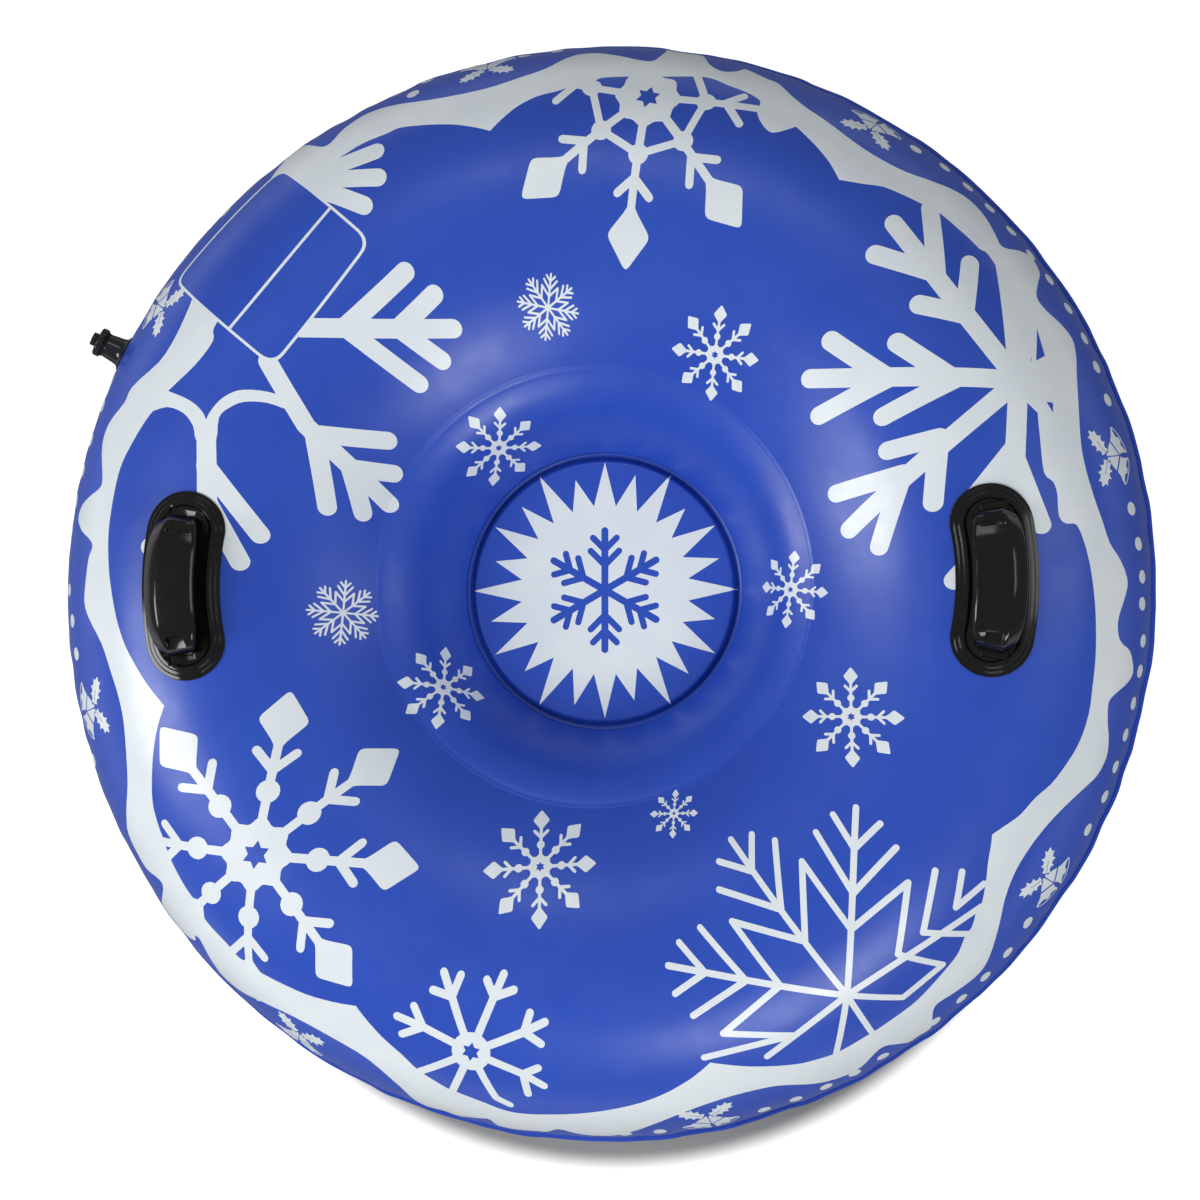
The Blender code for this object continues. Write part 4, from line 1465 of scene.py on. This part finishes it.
    BURST_NOTCH = 0.074
    BURST_ARM = 0.052j
    BURST_LINE = 0.0062
    BURST_TWIG_LINE = 0.0056
    BURST_TWIGS = ((0.42, 0.66 + 0.24j), (0.68, 0.88 + 0.20j))

    def __init__(self, view: PhotoView, skins: Skins, finishes: Finishes) -> None:
        """Keeps what the print is laid with."""
        self.view = view
        self.skin = skins.top
        self.rows = skins.rows()
        self.steps = skins.steps
        self.finish = finishes.ink

    def _flat(self, *pixels: Pixel) -> list[complex]:
        """Places on the flat sheet of pixels of the photograph."""
        return list(self.view.flat(self.skin, pixels))

    def _within(self, places: Sequence[complex], slope: float) -> list[complex]:
        """Places on the flat sheet, none of them further out than where the sheet has this slope."""
        furthest = self.skin.section.reach_at(slope)
        return [place / abs(place) * min(abs(place), furthest) for place in places]

    def _lines(self, ink: Print, pairs: Sequence[tuple[Pixel, Pixel]], width: float) -> None:
        """Strokes between pairs of pixels."""
        for pair in pairs:
            start, end = self._flat(*pair)
            ink.fill(rounded_stroke(start, end, width))

    def _lay(self, ink: Print) -> None:
        """Builds one print."""
        ink.build(self.skin, self.rows, self.steps, self.finish)

    def _panel(self) -> tuple[Shape, Shape, Shape]:
        """The blank panel's outer edge, its inner edge and its dividing line."""
        corners = self._flat(*self.PANEL_TOP)
        middle = sum(corners) / 4
        outer = rounded_outline(corners, self.PANEL_ROUNDING, 6)
        inner = [place + toward(place, middle) * self.PANEL_STROKE for place in outer]
        return outer, inner, square_stroke(*self._flat(*self.PANEL_DIVIDER), self.PANEL_STROKE * 0.8)

    def _band(self) -> None:
        """The wavy band, with a bare place for the panel."""
        ink = Print("band_print", height=0.00015)
        outer = self._within(self._flat(*self.BAND_OUTER), self.BAND_SLOPE)
        ink.fill(curve_through(outer, closed=True))
        inner: Shape = []
        for part in self.BAND_INNER:
            inner += curve_through(self._flat(*part), closed=False)[:-1]
        inner.append(self._flat(self.BAND_INNER[-1][-1])[0])
        ink.open(inner, self._panel()[0])
        ink.open(*[self._flat(*hole) for hole in self.BAND_HOLES])
        self._lay(ink)

    def _thick_flakes(self) -> None:
        """The two bold flakes that run out of the panel and the band."""
        left = Print("upper_left_flake_print", height=0.00021)
        self._lines(left, self.UPPER_LEFT, self.THICK)
        for arch in (self.LEFT_ARCH, self.RIGHT_ARCH):
            left.fill(curve_through(self._flat(*arch), closed=True))
        left.open(self._panel()[0])
        self._lay(left)
        right = Print("right_flake_print", height=0.00021)
        self._lines(right, self.RIGHT_FLAKE, self.THICK)
        right.open(*[self._flat(*hole) for hole in self.BAND_HOLES])
        self._lay(right)

    def _flake(self, name: str, flake: BeadFlake | FineFlake, pair: tuple[Pixel, Pixel]) -> None:
        """One flake as a print, from the pixels of its centre and of its first tip."""
        ink = Print(name)
        flake.add(ink, Placed(*self._flat(*pair)))
        self._lay(ink)

    def _small_flakes(self) -> None:
        """The large and the small flakes with beads and diamonds, and the fine ones."""
        self._flake("large_bead_flake_print", BeadFlake(), self.BIG_BEAD_FLAKE)
        for i, pair in enumerate(self.SMALL_BEAD_FLAKES, start=1):
            self._flake(f"small_bead_flake_print_{i}", BeadFlake(), pair)
        for i, pair in enumerate(self.FINE_FLAKES, start=1):
            self._flake(f"fine_flake_print_{i}", FineFlake(), pair)

    def _top_flake(self) -> None:
        """The flake that hangs from the top of the band."""
        ink = Print("top_flake_print")
        line = self.TOP_LINE
        centre, *beads = self._flat(self.TOP_CENTRE, *self.TOP_BEADS)
        hub = Placed(centre, centre + toward(centre, beads[2]) * self.TOP_HUB)
        ink.fill(hub.shape(lobed_rim(8, 1.0, self.TOP_LOBE)))
        ink.open(star(centre, self.TOP_STAR * turned(self.STAR_TURN)))
        for first, second in zip(beads, beads[1:]):
            ink.fill(rounded_stroke(first, second, line * 0.92, 4))
        for bead in beads:
            ink.fill(rounded_stroke(centre, bead, line, 4), disc(bead, self.TOP_BEAD))
        self._lines(ink, self.TOP_TWIGS, line)
        for point, left, right, middle in (self._flat(*pixels) for pixels in self.TOP_ARMS):
            arm = Placed(middle, middle + toward(centre, middle) * self.TOP_DIAMOND)
            ink.fill(rounded_stroke(centre, arm.at(-0.9), line, 4))
            ink.fill(rounded_stroke(point, left, line, 4), rounded_stroke(point, right, line, 4))
            ink.fill(diamond(arm, *self.TOP_DIAMOND_SHARES))
        self._lay(ink)

    def _medium_flake(self) -> None:
        """The flake with three-pronged arms."""
        ink = Print("medium_flake_print")
        centre = self._flat(self.MEDIUM_CENTRE)[0]
        ink.fill(disc(centre, self.MEDIUM_HUB, 40))
        ink.open(star(centre, self.MEDIUM_STAR * turned(self.STAR_TURN)))
        for root, tips in self.MEDIUM_ARMS:
            fork, *ends = self._flat(root, *tips)
            ink.fill(rounded_stroke(centre, fork, self.MEDIUM_LINE, 5))
            ink.fill(*[rounded_stroke(fork, end, self.MEDIUM_LINE, 5) for end in ends])
        self._lay(ink)

    def _crystal(self) -> None:
        """The large feathered crystal."""
        ink = Print("crystal_flake_print")
        self._lines(ink, self.CRYSTAL_LINES, self.CRYSTAL_LINE)
        ink.fill(disc(self._flat(self.CRYSTAL_CENTRE)[0], self.CRYSTAL_LINE))
        self._lay(ink)

    def _dots(self) -> None:
        """The row of dots along the seam."""
        ink = Print("dots_print")
        for place in self._within(self._flat(*self.DOTS), self.DOT_SLOPE):
            ink.fill(disc(place, self.DOT_RADIUS, 28))
        self._lay(ink)

    def _holly(self) -> None:
        """Eight sprigs of holly with two bells each."""
        ink = Print("holly_print")
        sprig = Sprig()
        for place in self._flat(*self.HOLLY):
            reach = min(abs(place), self.skin.section.seam_reach - sprig.spread_out)
            sprig.add(ink, place / abs(place) * reach)
        self._lay(ink)

    def _burst(self) -> None:
        """A many-pointed burst on the seat's floor, with a plain six-armed flake left open in it."""
        ink = Print("burst_print")
        centre = self._flat(self.BURST_CENTRE)[0]
        spikes: Shape = []
        for i, length in enumerate(self.BURST_POINTS):
            spikes.append(centre + length * turned(math.tau * i / len(self.BURST_POINTS)))
            spikes.append(centre + self.BURST_NOTCH * turned(math.tau * (i + 0.5) / len(self.BURST_POINTS)))
        ink.fill(spikes)
        for arm in Placed(centre, centre + self.BURST_ARM).arms(6):
            ink.open(arm.stroke(0, 1.0, self.BURST_LINE, 10))
            ink.open(*arm.twigs(self.BURST_TWIGS, self.BURST_TWIG_LINE, 10))
        self._lay(ink)

    def build(self) -> None:
        """Lays every print."""
        self._band()
        self._thick_flakes()
        self._small_flakes()
        self._top_flake()
        self._medium_flake()
        self._crystal()
        self._dots()
        self._holly()
        self._burst()
        outer, inner, line = self._panel()
        self._lay(Print("panel_print", filled=[outer], opened=[inner]))
        self._lay(Print("panel_line_print", filled=[line]))


class End(Enum):
    """The two handles, by their turn round the tube."""

    RIGHT = 0.0
    LEFT = math.pi


@dataclass
class Handle:
    """A moulded handle: a bean-shaped plate with stepped ridges, and an arched grip in its pockets."""

    end: End
    skin: Skin
    clearance: float = 0.0003
    radius: float = 0.349
    plate_length: float = 0.164
    plate_width: float = 0.070
    plate_edge: float = 0.0014
    plate_bend: float = 0.004
    ridge_count: int = 3
    ridge_width: float = 0.0040
    ridge_rise: float = 0.0012
    ridge_slope: float = 0.0005
    floor_height: float = 0.0026
    floor_slope: float = 0.0020
    grip_span: float = 0.112
    grip_height: float = 0.0270
    grip_width: float = 0.039
    grip_inward: float = 0.0035
    grip_foot_width: float = 0.021
    grip_thickness: float = 0.0090
    grip_offset: float = 0.005
    pocket_floor: float = 0.0012
    pocket_window: float = 0.005
    arc_steps: int = 20
    side_steps: int = 28
    grip_steps: int = 72
    grip_rounding: float = 0.0011
    grip_top_shares: Pair = (-0.86, 0.46)
    grip_side_shares: Pair = (0.50, -0.40)
    recess_across: Pair = (-0.0110, 0.0020)
    recess_along: Pair = (0.0445, 0.0600)
    recess_floor: float = 0.0205
    plate_rounding: float = 0.0006
    plate_crease: float = 30.0
    grip_crease: float = 40.0
    eased: float = 0.0004
    arch_squareness_share: float = 0.62
    swell_share: float = 0.60
    foot_thickness_share: float = 0.85

    def _bent(self, flat: np.ndarray) -> np.ndarray:
        """Flat places (across, along, height) of the handle, bent onto the skin."""
        line = self.skin.section
        middle = np.interp(self.radius, line.radius, line.reach)
        across = flat[:, 0] - self.plate_bend * (2 * flat[:, 1] / self.plate_length) ** 2
        turn = flat[:, 1] / self.radius
        return self.skin.points(turn + self.end.value, middle + across, self.clearance + flat[:, 2])

    def _slot(self, radius: float, height: float) -> np.ndarray:
        """A ring round the plate.

        Args:
            radius: the radius of its round ends.
            height: its height over the skin.

        Returns:
            An array of its points.
        """
        straight = (self.plate_length - self.plate_width) / 2
        turns = np.linspace(0, math.pi, 2 * self.arc_steps + 1)
        side = np.linspace(-straight, straight, self.side_steps + 1)[1:-1]
        upper = np.stack([radius * np.cos(turns), straight + radius * np.sin(turns)], axis=1)
        left = np.stack([np.full_like(side, -radius), side[::-1]], axis=1)
        ring = np.concatenate([upper, left, -upper, -left])
        return np.column_stack([ring, np.full(len(ring), height)])

    def _plate_profile(self) -> list[Pair]:
        """The plate's (end radius, height) line, out under it and in over its ridges and floor."""
        edge = self.plate_width / 2
        line = [(0.0, 0.0), (edge, 0.0), (edge, self.plate_edge)]
        for i in range(self.ridge_count):
            level = self.plate_edge + i * self.ridge_rise
            tread = edge - (i + 1) * self.ridge_width
            line.append((tread + self.ridge_slope, level))
            if i + 1 < self.ridge_count:
                line.append((tread, level + self.ridge_rise))
        line.append((edge - self.ridge_count * self.ridge_width - self.floor_slope, self.floor_height))
        line.append((0.0, self.floor_height))
        return filleted(line, self.plate_rounding)

    def _finished(self, piece: Object, across: Pair, along: Pair, rise: Pair, degrees: float) -> Object:
        """Cuts a pocket at each end of a flat piece, eases its edges and bends it onto the skin.

        Args:
            piece: the plate or the grip.
            across: the pocket's sides, from the grip's middle.
            along: how far its ends lie from the middle.
            rise: its floor and its top.
            degrees: the angle of the edges that are kept sharp.

        Returns:
            The same piece, in place.
        """
        for side in (-1, 1):
            near, far = sorted(side * place for place in along)
            low = Vector((self.grip_offset + across[0], near, rise[0]))
            Bench.cut_box(piece, low, Vector((self.grip_offset + across[1], far, rise[1])))
        Bench.ease_edges(piece, self.eased)
        Bench.move_to(piece, self._bent(Bench.coordinates(piece)))
        Bench.shade(piece, degrees)
        return piece

    def _plate(self, name: str) -> Object:
        """The plate, with the two pockets that hold the grip's feet."""
        rings = [self._slot(radius, height) for radius, height in self._plate_profile()]
        inner = self.grip_span / 2 - self.grip_thickness / 2 - self.clearance
        outer = self.grip_span / 2 + self.grip_thickness / 2 + self.pocket_window
        half = self.grip_foot_width / 2 + 2 * self.clearance
        plate = Bench.tube(name, len(rings[0]), rings)
        rise = (self.pocket_floor, self.grip_height)
        return self._finished(plate, (-half, half), (inner, outer), rise, self.plate_crease)

    def _grip_ring(self, turn: float) -> np.ndarray:
        """One ring round the grip.

        Args:
            turn: how far along the arch it lies, from 0 to half a circle.

        Returns:
            An array of its points.
        """
        foot = self.pocket_floor + self.clearance
        rise, reach = self.grip_height - foot, self.grip_span / 2
        arch = self.arch_squareness_share
        c, s = squared(turn, arch)
        lean_c, lean_s = squared(turn, 2 - arch)
        out = Vector((-rise * lean_c, reach * abs(lean_s))).normalized()
        middle = Vector((-reach * c, foot + rise * abs(s)))
        swell = abs(math.sin(turn)) ** self.swell_share
        half_width = (self.grip_foot_width + (self.grip_width - self.grip_foot_width) * swell) / 2
        foot_share = self.foot_thickness_share
        half_depth = self.grip_thickness * (foot_share + (1 - foot_share) * swell) / 2
        (inner_top, outer_top), (inner_side, outer_side) = self.grip_top_shares, self.grip_side_shares
        corners = ((-1, -1), (1, -1), (1, outer_side), (outer_top, 1), (inner_top, 1), (-1, inner_side))
        profile = [(half_width * across, half_depth * over) for across, over in corners]
        ring = []
        for across, over in filleted(profile, self.grip_rounding, closed=True):
            place = middle + out * over
            ring.append((self.grip_offset - self.grip_inward * swell + across, place.x, place.y))
        return np.array(ring)

    def _grip(self, name: str) -> Object:
        """The arched grip: a flat top between bevels, a moulded recess at each end, the feet closed."""
        rings = [self._grip_ring(math.pi * i / self.grip_steps) for i in range(self.grip_steps + 1)]
        sides = len(rings[0])
        first, last = (np.tile(rings[end].mean(axis=0), (sides, 1)) for end in (0, -1))
        grip = Bench.tube(name, sides, [first, *rings, last])
        rise = (self.recess_floor, 2 * self.grip_height)
        return self._finished(grip, self.recess_across, self.recess_along, rise, self.grip_crease)

    def build(self, finishes: Finishes) -> None:
        """Makes and dresses the handle."""
        side = self.end.name.lower()
        plate = self._plate(f"{side}_plate_shell")
        Bench.fit(plate, finishes.handle, "tube", f"{side}_handle_plate", "handle_pvc")
        grip = self._grip(f"{side}_grip_bar")
        Bench.fit(grip, finishes.handle, "tube", f"{side}_grip", "handle_pvc")


@dataclass
class Valve:
    """The screw valve on the flank: soft base, washer, ribbed screw body and stopper."""

    skin: Skin
    turn: float = math.radians(153.5)
    slope: float = math.radians(80)
    clearance: float = 0.0003
    flange_radius: float = 0.0155
    flange_thickness: float = 0.0016
    neck_foot: float = 0.0125
    neck_top: float = 0.0105
    neck_height: float = 0.0175
    bore: float = 0.0085
    seal_radius: float = 0.0110
    seal_thickness: float = 0.0012
    rim_radius: float = 0.0128
    rim_height: float = 0.0070
    rim_rounding: float = 0.0024
    rib_count: int = 12
    rib_depth: float = 0.0008
    skirt_length: float = 0.0130
    plug_bore: float = 0.0048
    plug_head: float = 0.0060
    plug_height: float = 0.0050
    plug_shank: float = 0.0080
    seat_depth: float = 0.0130
    seat_thickness: float = 0.0016
    hub: float = 0.0015
    room: float = 0.0065
    base_rounding: float = 0.0006
    small_rounding: float = 0.0003
    plug_rounding: float = 0.0010
    chamfer: float = 0.0006
    neck_draft: Pair = (0.0002, 0.0020)
    rim_margin: float = 0.0004
    rim_steps: int = 6
    plug_steps: int = 4
    crease: float = 34.0
    steps: int = 96

    def __post_init__(self) -> None:
        """Works out the heights along the axis and the valve's place on the skin."""
        self.seal_low = self.neck_height + self.clearance
        self.rim_low = self.seal_low + self.seal_thickness + self.clearance
        self.rim_top = self.rim_low + self.rim_height
        self.reach = self.skin.section.reach_at(self.slope)
        out = Vector((math.sin(self.slope), 0, math.cos(self.slope)))
        out.rotate(Matrix.Rotation(self.turn, 3, "Z"))
        side = Vector((-math.sin(self.turn), math.cos(self.turn), 0))
        turn = Matrix((side, out.cross(side), out)).transposed().to_4x4()
        spot = self.skin.points(np.array([self.turn]), np.array([self.reach]), np.zeros(1))[0]
        self.place = Matrix.Translation(Vector(spot)) @ turn

    def _set(self, piece: Object) -> Object:
        """Puts a piece spun round Z onto the valve's axis."""
        piece.data.transform(self.place)
        piece.data.update()
        return piece

    def _base(self) -> Object:
        """The soft base: a flange that follows the skin, and a tapered neck."""
        foot, thick = self.neck_foot, self.flange_thickness
        profile = [
            (self.bore, self.neck_height),
            (self.neck_top, self.neck_height),
            (self.neck_top + self.neck_draft[0], self.neck_height - self.neck_draft[1]),
            (foot - self.chamfer, thick * 3.4),
            (foot, thick * 2),
            (foot + thick / 2, thick),
            (self.flange_radius, thick / 2),
            (self.flange_radius, 0.0),
            (foot, 0.0),
            (self.bore, 0.0),
        ]
        line = filleted(profile, self.base_rounding, closed=True)
        piece = Bench.spun("valve_base_moulding", line, self.steps, True)
        flat = Bench.coordinates(piece)
        radius = float(np.interp(self.reach, self.skin.section.reach, self.skin.section.radius))
        low = flat[:, 2] <= thick * 1.5
        turn, reach = self.turn + flat[:, 0] / radius, self.reach - flat[:, 1]
        on_skin = self.skin.points(turn, reach, self.clearance + flat[:, 2])
        world = np.array([self.place @ Vector(p) for p in flat])
        Bench.move_to(piece, np.where(low[:, None], on_skin, world))
        return piece

    def _seal(self) -> Object:
        """The washer on the end of the neck."""
        low, high = self.seal_low, self.seal_low + self.seal_thickness
        profile = [(self.bore, high), (self.seal_radius, high), (self.seal_radius, low), (self.bore, low)]
        line = filleted(profile, self.small_rounding, closed=True)
        return self._set(Bench.spun("valve_seal_ring", line, self.steps, True))

    def _insert(self) -> Object:
        """The screw body with its ribbed rim."""
        skirt, foot = self.bore - self.clearance, self.rim_low - self.skirt_length
        seat = self.rim_top - self.seat_depth
        profile = [
            (self.plug_bore, self.rim_top),
            (self.rim_radius, self.rim_top),
            (self.rim_radius, self.rim_low),
            (skirt, self.rim_low),
            (skirt, foot),
            (self.room, foot),
            (self.room, seat - self.seat_thickness),
            (self.hub, seat - self.seat_thickness),
            (self.hub, seat),
            (self.plug_bore, seat),
        ]
        rounded = filleted(profile, self.small_rounding, closed=True)
        rim = filleted(profile[:4], self.rim_rounding, self.rim_steps)
        line = rim + [p for p in rounded if p[1] < self.rim_low - self.rim_margin]
        piece = Bench.spun("valve_screw_body", line, self.steps * 2, True)
        flat = Bench.coordinates(piece)
        angle, reach = Bench.polar(flat)
        share = smooth_step(reach, self.rim_radius - self.rim_rounding * 0.6, self.rim_radius)
        lobes = (np.abs(np.cos(self.rib_count * angle / 2)) ** 0.8 - 1) * self.rib_depth * share
        flat[:, :2] *= (1 + lobes / np.maximum(reach, self.hub))[:, None]
        Bench.move_to(piece, flat)
        return self._set(piece)

    def _plug(self) -> Object:
        """The stopper in the screw body's bore."""
        low, shank = self.rim_top + self.clearance, self.plug_bore - self.clearance
        foot = self.rim_top - self.plug_shank
        profile = [
            (0.0, low + self.plug_height),
            (self.plug_head, low + self.plug_height),
            (self.plug_head, low),
            (shank, low),
            (shank, foot + self.chamfer),
            (shank - self.chamfer, foot),
            (0.0, foot),
        ]
        line = filleted(profile, self.plug_rounding, self.plug_steps)
        return self._set(Bench.spun("valve_stopper", line, self.steps, False))

    def build(self, finishes: Finishes) -> None:
        """Makes and dresses the valve, each piece on its own body."""
        made = (
            (self._base(), "tube", "valve_base", "valve_soft_pvc", finishes.smoky),
            (self._seal(), "seal", "valve_seal", "seal_rubber", finishes.rubber),
            (self._insert(), "insert", "valve_insert", "valve_plastic", finishes.plastic),
            (self._plug(), "plug", "valve_plug", "valve_plastic", finishes.plastic),
        )
        for piece, body, node, slot, finish in made:
            Bench.shade(piece, self.crease)
            Bench.fit(piece, finish, body, node, slot)
        dress(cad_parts["valve_flap"], finishes.rubber)


@dataclass
class Studio:
    """A pale floor under plain soft light."""

    LAMPS = (
        ("left_box", (-2.5, -0.4, 2.1), (0.9, 1.6), 52.0),
        ("front_box", (0.9, -2.4, 2.2), (1.6, 0.9), 43.0),
        ("right_fill", (2.5, 0.3, 2.0), (0.7, 1.6), 10.0),
        ("back_fill", (-0.2, 1.9, 3.0), (1.6, 0.7), 10.0),
    )

    lamp_aim: float = 0.1
    floor_size: float = 30.0
    # dark grey, so that where the glow stops the floor shows as painted shadow and reflects as a painted
    # darker floor
    floor_colour: Colour = (0.30, 0.30, 0.30)
    floor_roughness: Pair = (0.9, 0.9)
    floor_lift: float = 0.95
    # painted shadow: no glow inside this circle, which is set below the tube's lower edge, so a dark crescent
    # shows there beside the tube's real shadow
    shadow_middle: Pair = (-0.008, -0.100)
    shadow_radius: float = 0.396
    shadow_edge: float = 0.024
    # painted darker reflection: no glow in reflections within this circle, so the tube's flanks reflect the
    # dark grey floor
    dark_reflection_radius: float = 0.75
    dark_reflection_edge: float = 0.50
    world_strength: float = 0.36

    def _floor(self) -> None:
        """The floor: dark grey, with a pale glow that lights nothing and is seen by the eye and in
        reflections. The glow stops inside a circle set below the tube's lower edge, so a painted shadow
        crescent shows there, deepened by the tube's real shadow. It also stops in reflections near the tube,
        so the tube's flanks reflect a painted darker floor.
        """
        bpy.ops.object.select_all(action="DESELECT")
        bpy.ops.mesh.primitive_plane_add(size=self.floor_size)
        floor = bpy.context.object
        floor.name = "floor"
        graph = Graph("floor_paper", self.floor_colour, self.floor_roughness)
        graph.shader.inputs["Specular IOR Level"].default_value = 0.0
        graph.shader.inputs["Emission Color"].default_value = WHITE
        path = graph.node("ShaderNodeLightPath", {}).outputs
        # painted shadow: the eye sees no glow inside the shadow circle
        seen = self._beyond(graph, self.shadow_middle, self.shadow_radius, self.shadow_edge)
        seen = graph.maths("MULTIPLY", path["Is Camera Ray"], seen)
        mirrored = graph.maths("MAXIMUM", path["Is Glossy Ray"], path["Is Transmission Ray"])
        # painted darker reflection: reflections near the tube see no glow
        glow_past_dark_reflection = self._beyond(graph, (0.0, 0.0), self.dark_reflection_radius, self.dark_reflection_edge)
        glow = graph.maths("MAXIMUM", seen, graph.maths("MULTIPLY", mirrored, glow_past_dark_reflection))
        graph.link(graph.maths("MULTIPLY", glow, self.floor_lift), "Emission Strength")
        dress(floor, graph.material)

    def _beyond(self, graph: Graph, middle: Pair, radius: float, edge: float) -> Socket:
        """A level on the floor that is zero within a circle and one past its soft edge.

        Args:
            graph: the floor's material.
            middle: the circle's middle.
            radius: its radius.
            edge: how wide its soft edge is.

        Returns:
            The level's socket.
        """
        away = graph.node("ShaderNodeVectorMath", {0: graph.place, 1: (*middle, 0.0)})
        away.operation = "DISTANCE"
        inputs = {"Value": away.outputs["Value"], "From Min": radius, "From Max": radius + edge}
        level = graph.node("ShaderNodeMapRange", inputs)
        level.interpolation_type = "SMOOTHSTEP"
        return level.outputs["Result"]

    def _lamp(self, name: str, place: Vector, size: Pair, power: float) -> None:
        """Hangs a soft rectangular lamp that faces the tube.

        Args:
            name: the lamp's name.
            place: where it hangs.
            size: its width and height.
            power: its power in watts.
        """
        data = bpy.data.lights.new(name, "AREA")
        data.shape = "RECTANGLE"
        data.size, data.size_y = size
        data.energy = power
        lamp = bpy.data.objects.new(name, data)
        lamp.location = place
        facing = Vector((0, 0, self.lamp_aim)) - place
        lamp.rotation_euler = facing.to_track_quat("-Z", "Y").to_euler()
        bpy.context.scene.collection.objects.link(lamp)

    def _world(self) -> None:
        """Even light from all round."""
        world = bpy.data.worlds.new("studio")
        world.use_nodes = True
        back = world.node_tree.nodes["Background"]
        back.inputs["Color"].default_value = WHITE
        back.inputs["Strength"].default_value = self.world_strength
        bpy.context.scene.world = world

    def build(self) -> None:
        """Sets the floor, the world and the lamps."""
        self._floor()
        self._world()
        for name, place, size, power in self.LAMPS:
            self._lamp(name, Vector(place), size, power)
        bpy.context.scene.view_settings.view_transform = "Standard"


def main() -> None:
    """Builds the tube's looks in order."""
    logging.basicConfig(level=logging.INFO, format="%(name)s: %(message)s")
    low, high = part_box("top_sheet")
    section = Section(high.x)
    relief = Relief(section, Valve.turn, section.reach_at(Valve.slope), Handle.radius)
    middle = low.z - Skin.meeting
    view = PhotoView(middle)
    view.add_camera()
    finishes = Finishes()
    top = Skin(Side.TOP, section, relief, middle, TOP_THICKNESS)
    base = Skin(Side.BASE, section, relief, middle, BASE_THICKNESS)
    skins = Skins(section, top, base)
    skins.build(finishes)
    for end in End:
        Handle(end, top).build(finishes)
    Valve(top).build(finishes)
    WinterPrint(view, skins, finishes).build()
    Studio().build()


if __name__ == "__main__":
    main()
